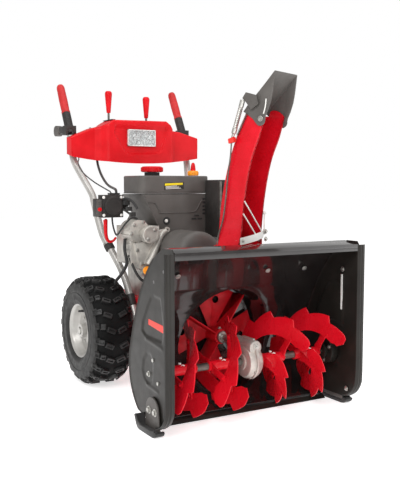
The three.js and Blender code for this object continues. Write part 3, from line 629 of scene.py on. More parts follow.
def wheel(name, side):
    """A lugged tyre with a moulded wall, and its dished rim with bolts, valve and axle cap."""
    turn = Matrix.Translation(Vector((side * TYRE_MID, 0, TYRE_R))) @ Matrix.Rotation(
        side * math.pi / 2, 4, "Y"
    )
    # the crown between the lugs takes the near-black finish: painted shade in the grooves
    tyre = Piece().use("groove_painted_shade")
    crown = [(tread_height(a) - 12.0, a) for a in (-70, -60, -48, -30, -12, 12, 30, 48, 60, 70)]
    tyre.lathe([*crown, (150, 70), (150, -70)], steps=96, turn=turn)
    tyre.use("tyre")
    wall = [(183, 70), (178, 76.5), (166, 80), (152, 80.5), (150, 79), (146, 79), (144, 80.5),
        (126, 79)]
    wall += [(122, 80.5), (116, 79.5), (110, 76), (103, 73), (100, 69), (110, 60), (170, 60)]
    for half in (-1, 1):
        tyre.lathe([(r, half * h) for r, h in wall], steps=96, turn=turn)
    rows = 22
    for i in range(rows):
        for half in (-1, 1):
            middle = 360 / rows * i
            near = 21 if i % 2 else 29
            tyre.use("tread")
            tread_block(tyre, turn, half * near, middle, 33, 17, half * 24)
            tread_block(tyre, turn, half * (near + 30), middle + 4.6, 17, 20, half * 6)
            tyre.use("tyre")
            tread_block(tyre, turn, half * 71, middle + 6.0, 13, 24, 0)
    tyre.done("tyre_" + name + "_tread", "wheels", replaces=["tyre_" + name], slot="tyre")

    rim = Piece().use("silver")
    dish = [(15, 67), (24, 67), (26, 65), (26, 47), (29, 44), (46, 41), (60, 37), (74, 34), (82, 36),
        (87, 44)]
    flange = [(90, 58), (93, 66), (98, 70), (103, 71.5), (105.5, 70.5), (105.8, 67.5), (101, 66),
        (98.5, 62)]
    inner = [(98.5, -62), (101, -66), (105.8, -67.5), (104, -71), (98, -70), (92, -64), (86, -50),
        (84, 26)]
    back = [(72, 28), (44, 33), (26, 36), (24, 6), (15, 6)]
    rim.lathe([*dish, *flange, *inner, *back], steps=72, turn=turn)
    for k in range(5):
        a = (k * 72 + 20) * DEG
        rim.bolt((46 * math.cos(a), 46 * math.sin(a), 41), (0, 0, 1), 5.5, 4, turn=turn)
    rim.use("rubber")
    rim.lathe([(0, 88), (3.2, 88), (4, 86), (4, 76), (5.2, 70), (5.6, 48), (0, 48)], (78, -20, -8),
        steps=16, turn=turn)
    rim.use("steel")
    rim.lathe([(0, 78), (11, 78), (12.3, 76.5), (12.3, 60), (0, 60)], (0, 0, -6.5), steps=32, turn=turn)
    rim.done("rim_" + name + "_dish", "wheels", replaces=["rim_" + name], slot="silver_paint")


for _name, _side in SIDES:
    wheel(_name, _side)

# ---------------------------------------------------------------- intake
AUGER_Y, AUGER_Z, AUGER_TIP = -640.0, 180.0, 155.0
INTAKE_HALF, FRONT_Y, CHANNEL_TOP = 345.0, -774.0, 570.0
PLATE_THICK, FLANGE_THICK = 2.6, 2.2


def wall_line():
    """The auger housing's rear wall in Y and Z, from its foot to the channel."""
    low = arc(AUGER_Y, AUGER_Z, AUGER_TIP + 8, -78, 25, 24)
    y0, z0 = low[-1]
    back = interpolate_bezier(
        Vector((y0, z0)), Vector((-520, 345)), Vector((-590, 505)), Vector((-709, CHANNEL_TOP - 4)), 17
    )
    return low + [(p.x, p.y) for p in back[1:]]


def plate_limits():
    """Front and back edges of a side plate as functions of height."""
    back = []
    line = wall_line()
    for i, (y, z) in enumerate(line):
        way = heading(line, i)
        back.append((y + way.y * 12, z - way.x * 12))
    edge = [(-705, 28.8), (-620, 26)] + [(y, z) for y,
        z in back if 40 < z < 540] + [(-712, CHANNEL_TOP)]
    corner = arc(-694, 108, 80, 262, 192, 12)
    front = corner + [(FRONT_Y, 128), (FRONT_Y, CHANNEL_TOP - 10), (-766, CHANNEL_TOP)]

    def at(line, z):
        for (ya, za), (yb, zb) in zip(line, line[1:]):
            if min(za, zb) <= z <= max(za, zb) and za != zb:
                return ya + (yb - ya) * (z - za) / (zb - za)
        return line[-1][0] if z > line[-1][1] else line[0][0]

    return lambda z: at(front, z), lambda z: at(edge, z)


def to_segment(start, end, y, z):
    """Distance from a point to a straight segment."""
    (ya, za), (yb, zb) = start, end
    dy, dz = yb - ya, zb - za
    t = max(0.0, min(1.0, ((y - ya) * dy + (z - za) * dz) / (dy * dy + dz * dz)))
    return math.hypot(y - ya - t * dy, z - za - t * dz)


def inside(polygon, y, z):
    """Distance into a polygon, negative outside it."""
    best, odd = 1e9, False
    for start, end in zip(polygon, [*polygon[1:], polygon[0]]):
        (ya, za), (yb, zb) = start, end
        best = min(best, to_segment(start, end, y, z))
        if (za > z) != (zb > z) and y < (yb - ya) * (z - za) / (zb - za) + ya:
            odd = not odd
    return best if odd else -best


WINDOW = [(-644, 424), (-690, 419), (-706, 355), (-710, 313), (-700, 284), (-585, 287), (-559, 302),
    (-567, 333), (-601, 386), (-623, 414)]
POCKET = [(-622, 240), (-640, 214), (-636, 150), (-600, 138), (-574, 152), (-562, 177), (-570, 214),
    (-594, 238)]


def emboss(y, z):
    """How far the plate's face is pressed in at a point."""
    depth = 3.2 * smooth_step((inside(WINDOW, y, z) + 2) / 9)
    depth += 2.6 * smooth_step((inside(POCKET, y, z) + 2) / 9)
    for start, end in (((-592, 281), (-700, 269)), ((-597, 138), (-672, 130))):
        depth -= 2.4 * math.exp(-((to_segment(start, end, y, z) / 5.0) ** 2))
    return depth


def side_plate(name, side):
    """A pressed side plate with its ribbed front flange, bolts and stripe."""
    front, back = plate_limits()
    piece = Piece().use("black")
    rows_out, rows_in = [], []
    heights = [28.9, 31, 34, 38] + [42 + 4.2 * i for i in range(125)] + [CHANNEL_TOP]
    for z in heights:
        y0, y1 = front(z), back(z)
        out, into = [], []
        for k in range(53):
            y = y0 + (y1 - y0) * k / 52
            rim = 2.2 * smooth_step((8 - min(y1 - y, 8)) / 8)
            x = INTAKE_HALF + 5 - emboss(y, z) + rim
            out.append((side * x, y, z))
            into.append((side * (x - PLATE_THICK), y, z))
        rows_out.append(out)
        rows_in.append(into)
    shell = [[*out, *reversed(into)] for out, into in zip(rows_out, rows_in)]
    m, n = len(shell), len(shell[0])
    verts = [p for row in shell for p in row]
    faces = ring_faces(m, n)
    half = n // 2
    for row in (0, m - 1):
        faces += [
            (row * n + k, row * n + k + 1, row * n + n - 2 - k,
                row * n + n - 1 - k) for k in range(half - 1)
        ]
    piece.put(verts, faces)
    # the turned-out front flange with its two ribs
    edge = [(FRONT_Y, CHANNEL_TOP - 12), *[(FRONT_Y, z) for z in (480, 400, 320, 240, 160, 128)]]
    edge += list(reversed(arc(-694, 108, 80, 262, 192, 10)))
    across = [(0, 2.5), (0.8, 0.6), (3, -0.6), (8, -1), (11, -2.6), (14, -1), (18, -1), (21, -2.6),
        (24, -1), (29, -1), (31, 0.5), (31, 3)]
    thick = []
    for i, (y, z) in enumerate(edge):
        way = heading(edge, i)
        into = Vector((-way.y, way.x))
        skin = [(side * (INTAKE_HALF + x), y + into.x * d, z + into.y * d) for x, d in across]
        under = [(x, v + into.x * FLANGE_THICK, w + into.y * FLANGE_THICK) for x, v,
            w in reversed(skin)]
        thick.append([*skin, *under])
    piece.loft(thick)
    piece.use("steel")
    face = side * (INTAKE_HALF + 2.5)
    for y, z in ((-641, 222), (-606, 172), (-675, 157)):
        piece.bolt((face, y, z), (side, 0, 0), 6.5, 5)
    for y, z in ((-742, 548), (-728, 60), (-700, 470)):
        piece.bolt((side * (INTAKE_HALF - 0.5), y, z), (-side, 0, 0), 6, 4)
    piece.use("white")
    mark = [(-700, 330), (-692, 330), (-692, 452), (-700, 452)]
    piece.prism(mark, "x", side * (INTAKE_HALF - 1.6), side * (INTAKE_HALF + 1), bevel=0.8)
    piece.use("gloss_black")
    for y, z in ((-712, 501), (-648, 464)):
        piece.lathe([(0, 0), (5, 0), (5, 0.4), (0, 0.4)], (side * (INTAKE_HALF + 4.9), y, z),
            (side, 0, 0), 20)
    piece.use("decal_red")
    stripe = [(-604, 344), (-702, 338), (-708, 315), (-603, 327)]
    x0, x1 = side * (INTAKE_HALF + 1.6), side * (INTAKE_HALF + 2.3)
    piece.prism(stripe, "x", x0, x1, bevel=0.1, segments=1)
    piece.done("plate_" + name, "machine", replaces=["side_plate_" + name], slot="black_paint")


for _name, _side in SIDES:
    side_plate(_name, _side)


def skid(name, side):
    """An arched gray plate with two bolts and a thick sole turned up at both ends."""
    piece = Piece().use("gray")
    face = INTAKE_HALF + 8.5
    arch = [(-599, 14), (-603, 60), *arc(-646, 66, 43, 15, 165, 12), (-692, 48), (-697, 14)]
    piece.prism(arch, "x", side * face, side * (face + 5), bevel=1.6, segments=3)
    piece.use("rubber")
    bottom = [(-720, 18), (-716, 9), (-707, 3), (-694, 0.4), (-606, 0.4), (-594, 3), (-582, 13),
        (-568, 40)]
    top = [(-576, 44), (-591, 20), (-601, 13.5), (-612, 12), (-690, 12), (-702, 14), (-711, 21)]
    piece.prism([*bottom, *top], "x", side * (face - 3), side * (face + 29), bevel=2.2, segments=3)
    lip = [(-716, 9), (-694, 2), (-606, 2), (-584, 12), (-573, 42), (-580, 46), (-596, 26), (-612, 19),
        (-688, 19), (-706, 24)]
    piece.prism(lip, "x", side * (face + 24), side * (face + 29.5), bevel=1.8)
    piece.use("steel")
    for y in (-628, -668):
        piece.bolt((side * (face + 5), y, 66), (side, 0, 0), 8.5, 6)
    piece.done("skid_" + name + "_shoe", "machine", replaces=["skid_" + name], slot="black_paint")


for _name, _side in SIDES:
    skid(_name, _side)


def intake_trim():
    """Bolts of the auger housing, its bearings and the scraper bar, and cups over the bearings."""
    piece = Piece().use("steel")
    for x in (-300, -150, 0, 150, 300):
        piece.bolt((x, -594, 14.5), (0, 0.55, 0.83), 6, 4)
    for x, y, z in ((-246, -607, 470), (96, -607, 470), (250, -607, 470)):
        piece.bolt((x, y - 3, z), (0, -0.8, -0.6), 6, 4)
    for side in (-1, 1):
        for k in range(3):
            a = (k * 120 + 30) * DEG
            piece.bolt(
                (side * 316, AUGER_Y + 33 * math.cos(a), AUGER_Z + 33 * math.sin(a)), (-side, 0,
                    0), 5.5, 4
            )
    piece.done("intake_bolts", "machine", slot="zinc")
    hubs = Piece().use("black")
    for side in (-1, 1):
        cup = [(14, 0), (22, 0), (25, 3), (27, 12), (31, 16), (31, 21), (14, 21)]
        hubs.lathe([(r, -h) for r, h in cup], (side * 316.5, AUGER_Y, AUGER_Z), (side, 0, 0), 36)
    hubs.done("bearing_cups", "machine", slot="black_paint")


intake_trim()

# ---------------------------------------------------------------- auger
def flight(name, inner, side, phase):
    """Two toothed half-turn ribbons on a sleeve, with spokes."""
    width, depth = 126.0, 76.0
    x0, x1 = side * inner, side * (inner + width)
    piece = Piece(Matrix.Translation(Vector((0, AUGER_Y, AUGER_Z)))).use("red")
    steps, teeth = 105, 5
    for half in (0, 180):
        rows = []
        for i in range(steps + 1):
            part = i / steps
            angle = (phase + half + 180 * part) * DEG
            x = x0 + (x1 - x0) * part
            wave = (part * teeth) % 1 if i < steps else 0.98
            rise = wave / 0.86 if wave < 0.86 else (1 - wave) / 0.14
            outer = AUGER_TIP - 22 * (1 - rise)
            inside_r = AUGER_TIP - depth - 3 * math.sin(part * math.pi)
            ends = smooth_step(min(part, 1 - part) / 0.07)
            middle = (inside_r + outer) / 2
            inside_r = middle + (inside_r - middle) * (0.55 + 0.45 * ends)
            outer = middle + (outer - middle) * (0.62 + 0.38 * ends)
            lean = side * 4.0
            ring = []
            for r, dx in ((inside_r, 0), (outer, lean), (outer, lean + side * 3.4),
                (inside_r, side * 3.4)):
                ring.append((x + dx, -r * math.sin(angle), r * math.cos(angle)))
            rows.append(ring)
        piece.loft(rows, bevel=0.6, segments=1, sharp=50)
        for part in (0.2, 0.8):
            angle = phase + half + 180 * part
            x = x0 + (x1 - x0) * part
            reach = AUGER_TIP - depth + 14
            turn = Matrix.Rotation(angle * DEG, 4, "X")
            outline = [(-17, 14), (-11, 45), (-14, reach), (14, reach), (11, 45), (17, 14)]
            piece.prism(outline, "x", x + side * 3.6, x + side * 7.6, bevel=0.9, turn=turn)
            piece.bolt((x + side * 7.4, 0, reach - 9), (side, 0, 0), 4.5, 3, turn=turn)
    sleeve = [(12.3, 10), (16, 10), (17, 11), (17, width - 11), (16, width - 10), (12.3, width - 10)]
    piece.lathe(sleeve, (x0, 0, 0), (side, 0, 0), 32)
    piece.use("white")
    middle = x0 + side * width * 0.52
    piece.sweep([(middle, -9, 15), (middle, -17, 19), (middle + 7, -18, 17), (middle + 8, -8, 18)], 1.5,
        8)
    piece.bolt((middle, 0, 17), (0, 0, 1), 5, 5, washer=False)
    piece.done(name + "_ribbon", "auger", replaces=[name], slot="red_paint")


for _name, _side, _phase, _start in (("left", -1, -38, 42), ("right", 1, -110, 22)):
    flight(f"auger_flight_{_name}_inner", _start, _side, _phase)
    flight(f"auger_flight_{_name}_outer", _start + 150, _side, _phase)


def gearbox():
    """The cast worm case: two lobes bolted together, with bosses for the two shafts."""
    piece = Piece().use("cast")
    wheel = [(13, -27), (40, -27), (50, -24), (55, -17), (56, -6), (56, 6), (55, 17), (50, 24),
        (40, 27), (13, 27)]
    piece.lathe(wheel, (0, AUGER_Y, AUGER_Z), (1, 0, 0), 48)
    hub = [(12.4, 26), (26, 26), (27, 27), (27, 30), (25.5, 31.4), (12.4, 31.4)]
    for side in (-1, 1):
        piece.lathe(hub, (0, AUGER_Y, AUGER_Z), (side, 0, 0), 32)
    top = AUGER_Z + 50
    neck = [(0, -44), (15, -44), (22, -41), (24, -36), (24, -12), (21, 4), (21, 30), (24, 38), (24, 64),
        (12.5, 66), (0, 66)]
    piece.lathe(neck, (0, AUGER_Y, top), (0, 1, 0), 36)
    seam = [*arc(0, 0, 61, 160, 385, 18), (44, 52), (34, 78), (-30, 78), (-46, 52)]
    piece.prism([(AUGER_Y + a, AUGER_Z + b) for a, b in seam], "x", -4.5, 4.5, bevel=1.2)
    piece.use("steel")
    for a in (-150, -110, -70, -30, 10):
        y, z = AUGER_Y + 55.5 * math.cos(a * DEG), AUGER_Z + 55.5 * math.sin(a * DEG)
        for side in (-1, 1):
            piece.bolt((side * 4.5, y, z), (side, 0, 0), 4.6, 4, washer=False)
    for y, z in ((-42, 60), (36, 64)):
        for side in (-1, 1):
            piece.bolt((side * 4.5, AUGER_Y + y, AUGER_Z + z), (side, 0, 0), 4.6, 4, washer=False)
    piece.bolt((0, AUGER_Y - 44, top), (0, -1, 0), 7, 4)
    piece.done("gearbox_case", "machine", replaces=["gearbox_housing"], slot="cast_aluminium")


gearbox()


def fan_trim():
    """The impeller's collar and its set bolt."""
    piece = Piece().use("steel")
    piece.lathe([(12.3, 0), (20, 0), (21, 1), (21, 9), (19, 11), (12.3, 11)], (0, -474, 230),
        (0, -1, 0), 32)
    piece.bolt((0, -455, 256), (0, 0, 1), 6, 5)
    piece.done("impeller_collar", "impeller", slot="zinc")


fan_trim()

# ---------------------------------------------------------------- handles and dash
GRIP_AXIS = (0, 120, 214)
GRIP_LENGTH = math.hypot(120, 214)


def grip_foot(side):
    """Where a grip's axis starts."""
    return (side * 264, 284, 962)


def handles(name, side):
    """A bent handlebar with its collars, the ribbed sleeve and the soft grip."""
    bar_path = [(177, -170, 215), (177, -105, 325), (180, -40, 418), (204, 18, 505), (222, 60, 565)]
    bar_path += [(223, 135, 680), (222, 165, 721), (245, 213, 793), (262, 254, 855), (264, 276, 915),
        (264, 287, 958)]
    tube = Piece().use("silver")
    tube.sweep([(side * x, y, z) for x, y, z in bar_path], 13.8, 24, 8)
    tube.use("dark")
    low, high = Vector((side * 204, 18, 505)), Vector((side * 222, 60, 565))
    way = (high - low).normalized()
    collar = [(14.2, 0), (18, 0), (19, 1.2), (19, 23), (18, 24.5), (14.2, 24.5)]
    tube.lathe(collar, low + way * 2, way, 32)
    tube.lathe([(14.2, 0), (17, 0), (17.6, 1), (17.6, 44), (14.2, 45)], (side * 177.4, -118, 303),
        (0.03, 65, 110), 32)
    tube.use("steel")
    tube.bolt(Vector((side * 225, 30, 526)), (side, 0, 0.1), 5, 4)
    tube.bolt(Vector((side * 195, -98, 338)), (side, 0, 0), 6.5, 5)
    tube.done("handlebar_" + name + "_tube", "machine", replaces=["handlebar_" + name],
        slot="silver_paint")

    sleeve = Piece().use("dark")
    rings = [(17.2, 0.03 * GRIP_LENGTH)]
    for k in range(13):
        h = 11 + k * 7.1
        rings += [(17.2, h), (18, h + 1), (18, h + 4.4), (17.2, h + 5.4)]
    rings += [(17.4, 0.42 * GRIP_LENGTH)]
    sleeve.lathe([(8, 0.03 * GRIP_LENGTH), *rings, (8, 0.42 * GRIP_LENGTH)], grip_foot(side), GRIP_AXIS,
        40)
    sleeve.done("sleeve_" + name, "machine", replaces=["grip_sleeve_" + name], slot="gray_plastic")
    soft = Piece().use("grip")
    start = 0.4225 * GRIP_LENGTH
    profile = [(0, start), (17, start), (18, start + 1.5), (18, start + 8), (16.6, start + 12)]
    for k in range(20):
        h = start + 14 + k * 5.2
        swell = 0.9 * math.sin(k / 19 * math.pi)
        profile.append((16.5 + swell + (0.25 if k % 2 else 0), h))
    profile += [(16.8, start + 122), (15.6, start + 131), (12.4, start + 137.6), (7, start + 140.6),
        (0, start + 141.2)]
    soft.lathe(profile, grip_foot(side), GRIP_AXIS, 40)
    soft.done("grip_" + name + "_soft", "machine", replaces=["grip_" + name], slot="red_plastic")


for _name, _side in SIDES:
    handles(_name, _side)

LEVER_PROFILE = [(0, -2), (4.4, 0), (4.4, 104), (7.5, 106), (8.8, 109), (9.6, 120), (12.2, 150),
    (14.4, 176), (14.9, 184), (13.6, 190), (9.5, 194.6), (0, 196)]
for _name, _x, _z in (("speed_lever", -114, 948), ("deflector_lever", 58, 934)):
    _lever = Piece().use("dark_steel")
    _lever.lathe([(r, h) for r, h in LEVER_PROFILE[:3]] + [(0, 104)], (_x, 240, _z), (0, 0, 1), 28)
    _lever.lathe([(4.2, -7), (9, -7), (9, 7), (4.2, 7)], (_x, 240, _z), (1, 0, 0), 28)
    _lever.use("red_plastic")
    _lever.lathe([(0, 104), *LEVER_PROFILE[3:]], (_x, 240, _z), (0, 0, 1), 40)
    _lever.done(_name + "_knob", _name, replaces=[_name], slot="red_plastic")


def blend(x, stops):
    """Straight steps through (place, value) stops."""
    if x <= stops[0][0]:
        return stops[0][1]
    for (x0, v0), (x1, v1) in zip(stops, stops[1:]):
        if x <= x1:
            return v0 + (v1 - v0) * (x - x0) / (x1 - x0)
    return stops[-1][1]


DASH_TOP = [(-290, 950), (-205, 986), (-172, 994), (-146, 1005), (-118, 1022), (122, 1025), (140, 1012),
    (156, 990), (205, 984), (290, 962)]
DASH_FACE = [(-290, 206), (-232, 205), (-190, 202), (-168, 190), (-150, 174), (-140, 170), (142, 170),
    (150, 173), (158, 196), (170, 204), (290, 206)]
DASH_BACK = [(-290, 262), (-160, 262), (-146, 291), (150, 291), (160, 262), (290, 262)]
DASH_PANEL = [(-118, 968), (-74, 899), (-60, 888), (-42, 884), (84, 891), (98, 900), (122, 985),
    (118, 1004), (-112, 1004)]

LAMP_WELL = [(-58, 919), (64, 919), (64, 983), (-58, 983)]


def dash_bottom(x):
    """The dash's lower edge hangs in a wide arc."""
    return 2476 - math.sqrt(1630**2 - x * x)


def dash_shell():
    """The moulded dash: a skin with a pressed face and a well for the lamp, and dark slot plates."""
    piece = Piece().use("red_plastic")
    rows = []
    for i in range(233):
        x = -290 + 2.5 * i
        top, face, back = blend(x, DASH_TOP), blend(x, DASH_FACE), blend(x, DASH_BACK)
        bottom = dash_bottom(x)
        outer = []
        for k in range(61):
            z = bottom + (top - 9 - bottom) * k / 60
            pressed = 8.0 * smooth_step((inside(DASH_PANEL, x,
                z) + 3) / 6) * smooth_step((1008 - z) / 26)
            belly = 3.0 * smooth_step((z - bottom) / 45)
            well = 24 * smooth_step((inside(LAMP_WELL, x, z) + 1) / 2)
            outer.append((x, face + pressed + 3.0 - belly + well, z))
        for angle in (20, 45, 70, 90):
            y = face + 9 - 9 * math.cos(angle * DEG) + (outer[-1][1] - face if angle < 90 else 0) * 0.4
            outer.append((x, y, top - 9 + 9 * math.sin(angle * DEG)))
        outer += [(x, face + (back - face) * part, top) for part in (0.35, 0.6, 0.85)]
        outer.append((x, back, top - 1))
        inner = [(x, back, top - 4), (x, face + 14, top - 4), (x, face + 8.5, top - 12),
            (x, face + 8.5, bottom + 6), (x, face + 6, bottom)]
        rows.append([*outer, *inner])
    piece.grid(rows, close_columns=True)
    for end in (0, -1):
        x = rows[end][0][0]
        low, high = (x, x + 4) if x < 0 else (x - 4, x)
        top, bottom = blend(x, DASH_TOP), dash_bottom(x)
        outline = [(206, bottom), (262, bottom + 10), (262, top), (214, top), (206, top - 8)]
        piece.prism(outline, "x", low, high, bevel=1.5, segments=3)
    piece.use("dark")
    for x in (-114, 58):
        piece.prism([(x - 9, 190), (x + 9, 190), (x + 9, 282), (x - 9, 282)], "z", 1022.2, 1025.4,
            bevel=1.2)
    piece.use("steel")
    for x, y in ((-196, 240), (196, 240)):
        piece.bolt((x, y, blend(x, DASH_TOP)), (0, 0, 1), 4, 2.5)
    piece.done("dash_moulding", "machine", replaces=["dash_panel"], slot="red_plastic", sharp=40)


def lamp():
    """A bezel round a rippled reflector, two bulbs' cups and a clear lens."""
    piece = Piece().use("chrome")
    x0, x1, z0, z1 = -60, 66, 917, 985
    for a0, a1, b0, b1 in ((x0, x1, z1 - 5, z1), (x0, x1, z0, z0 + 5), (x0, x0 + 5, z0, z1),
        (x1 - 5, x1, z0, z1)):
        piece.block(a0, a1, 164.5, 176, b0, b1, bevel=1.6, segments=3)
    rows = []
    for i in range(40):
        z = z0 + 5 + (z1 - z0 - 10) * i / 39
        row = []
        for k in range(72):
            x = x0 + 5 + (x1 - x0 - 10) * k / 71
            cups = min(math.hypot(x + 27, z - 951), math.hypot(x - 33, z - 951))
            deep = 171 + 6 * max(0, 1 - (cups / 30) ** 2) + 0.4 * math.sin(x * 0.5)
            row.append((x, deep, z))
        rows.append(row)
    piece.grid(rows)
    for x in (-27, 33):
        piece.lathe([(0, 0), (5, 0), (5.6, 2), (5.6, 4), (0, 5)], (x, 177.5, 951), (0, -1, 0), 24)
    piece.use("lens")
    piece.prism([(x0 + 4, z0 + 4), (x1 - 4, z0 + 4), (x1 - 4, z1 - 4), (x0 + 4, z1 - 4)], "y", 167.5,
        169.5, bevel=0.6)
    piece.done("lamp_unit", "machine", replaces=["headlight"], slot="lamp")


dash_shell()
lamp()

# ---------------------------------------------------------------- chute
CHUTE_FRAME = Matrix.Translation(Vector((58, -485, 0))) @ Matrix.Rotation(20 * DEG, 4, "Z")


def chute_shell():
    """A U of pressed sheet that leans forward as it rises, with folded lips and a domed top."""
    piece = Piece(CHUTE_FRAME).use("red")
    back = spline([(-50, 546), (-36, 690), (-9, 810), (29, 917), (66, 990)], 12)
    front = spline([(50, 546), (66, 705), (92, 830), (128, 920), (146, 985)], 12)
    count = len(back)
    rows = []
    for i, (b, f) in enumerate(zip(back, front)):
        part = i / (count - 1)
        flare = 10 * (1 - smooth_step(part / 0.09))
        half = 62 + flare
        dome = smooth_step((part - 0.9) / 0.1)
        deep = f.x - b.x
        corner = min(18.0, deep * 0.3)

        def at(x, u, lift=0.0):
            share = max(0.0, min(1.0, (u - b.x) / deep))
            return (x, -u, b.y + (f.y - b.y) * share + lift * dome * 20 * math.sin(math.pi * share))

        outer = [at(-half + 9, f.x + 1.5), at(-half + 2, f.x + 1.5), at(-half, f.x - 2)]
        outer += [at(-half, b.x + corner + (deep - corner) * k / 10, 1.0) for k in range(9, 0, -1)]
        outer += [
            at(-half + corner - corner * math.cos(a * DEG), b.x + corner - corner * math.sin(a * DEG))
            for a in range(0, 91, 15)
        ]
        right = [(-x, y, z) for x, y, z in reversed(outer)]
        thin = []
        for x, y, z in [*outer, *right]:
            ox = max(min(x, half - 2.8), -half + 2.8)
            edge = abs(x) < half - corner + 4 and -y < b.x + 3
            thin.append((ox, y - (2.8 if edge else 0), z))
        rows.append([*outer, *right, *reversed(thin)])
    piece.grid(rows, close_columns=True)
    ring = [(80, 535.3), (84, 535.3), (85, 536.5), (85, 545.5), (84, 547), (66, 547), (63.4, 545),
        (63.4, 536)]
    piece.lathe(ring, steps=72)
    piece.use("steel")
    for side in (-1, 1):
        piece.bolt((side * 72, -34, 547), (0, 0, 1), 5, 4)
        piece.bolt((side * 63, -42, 566), (side, 0, 0), 5.2, 4)
    piece.done("chute_shell", "chute", replaces=["chute"], slot="red_paint")


def chute_fittings():
    """The cable adjuster, the chute's guard and the deflector's bolts."""
    piece = Piece(CHUTE_FRAME).use("gray")
    plate = [(-70, 1040), (-84, 1058), (-126, 1046), (-134, 1016), (-104, 1000), (-86, 1024)]
    piece.prism(plate, "x", -75, -68.5, bevel=1.6, segments=3)
    piece.use("steel")
    way = Vector((0, 38, -109))
    flutes = [(0, 0), (6.5, 0), (8.5, 2), (8.5, 24), (7, 26)]
    flutes += [(7 + (k % 2) * 1.2, 28 + 3 * k) for k in range(22)]
    flutes += [(7, 93), (8.5, 95), (8.5, 112), (5, 116), (5, 138), (0, 138)]
    piece.lathe(flutes, (-76, -74, 1034), way, 24)
    piece.use("dark_steel")
    piece.sweep([(-76, -28, 905), (-74, -22, 853), (-71, -9, 789), (-69, 2, 708), (-69, 14, 638),
        (-69, 32, 587), (-69, 36, 551)], 2.6, 12, 10)
    turns, coil = 17, []
    for i in range(turns * 14 + 1):
        part = i / (turns * 14)
        a = part * turns * 2 * math.pi
        centre = Vector((-67, -84 + 40 * part, 990 - 70 * part))
        coil.append(centre + Vector((3.6 * math.cos(a), 3.6 * math.sin(a), 0)))
    piece.sweep(coil, 0.9, 6, 1)
    piece.use("decal_red")
    piece.prism([(-44, 899), (-22, 893), (-19, 909), (-41, 915)], "x", -86, -70, bevel=1.5)
    piece.done("deflector_adjuster", "chute", replaces=["cable_adjuster"], slot="black_plastic")
    guard = Piece(CHUTE_FRAME).use("white")
    line = spline([(-64, -57), (-40, -67), (0, -76), (40, -73), (66, -60)], 8)
    rows = []
    for i, p in enumerate(line):
        way = heading(line, i)
        off = Vector((-way.y, way.x)) * 1.5
        lift = 0.19 * p.x
        rows.append([(p.x + off.x * s, p.y + off.y * s, 579 + lift + z) for s,
            z in ((1, -12), (1, 12), (-1, 12), (-1, -12))])
    guard.grid(rows, close_columns=True)
    guard.sweep([(-60, -71, 702), (44, -71.5, 592)], 2.4, 12, 1)
    guard.sweep([(-60, -66, 660), (2, -74.5, 586)], 2.4, 12, 1)
    guard.sweep([(60, -68, 585), (60, -68, 656)], 3, 12, 1)
    guard.lathe([(0, -6.4), (4, -5), (6.2, -1.6), (6.2, 1.6), (4, 5), (0, 6.4)], (60, -68.5, 660),
        (0, 0, 1), 24)
    guard.use("steel")
    for z in (570, 596):
        guard.bolt((59, -74, z), (0, -1, 0), 6, 4)
    guard.bolt((-56, -62, 570), (0, -1, 0), 4.5, 3)
    guard.done("chute_guard_strip", "chute", replaces=["chute_guard"], slot="zinc")
    hood = Piece(CHUTE_FRAME).use("steel")
    for side in (-1, 1):
        hood.bolt((side * 67, -138, 970), (side, 0, 0), 6.5, 5)
    hood.use("white")
    for side in (-1, 1):
        slot = spline([(-150, 985), (-157, 1008), (-160, 1032)], 6)
        hood.sweep([(side * 66.6, p.x, p.y) for p in slot], 2.2, 10, 1)
    hood.done("deflector_fittings", "deflector", slot="zinc")


chute_shell()
chute_fittings()

# ---------------------------------------------------------------- engine
CAP_AT, SPOUT_AT, STARTER_AT = (-50, -32, 806), (84, -120, 0), (-158, -206.8, 578)


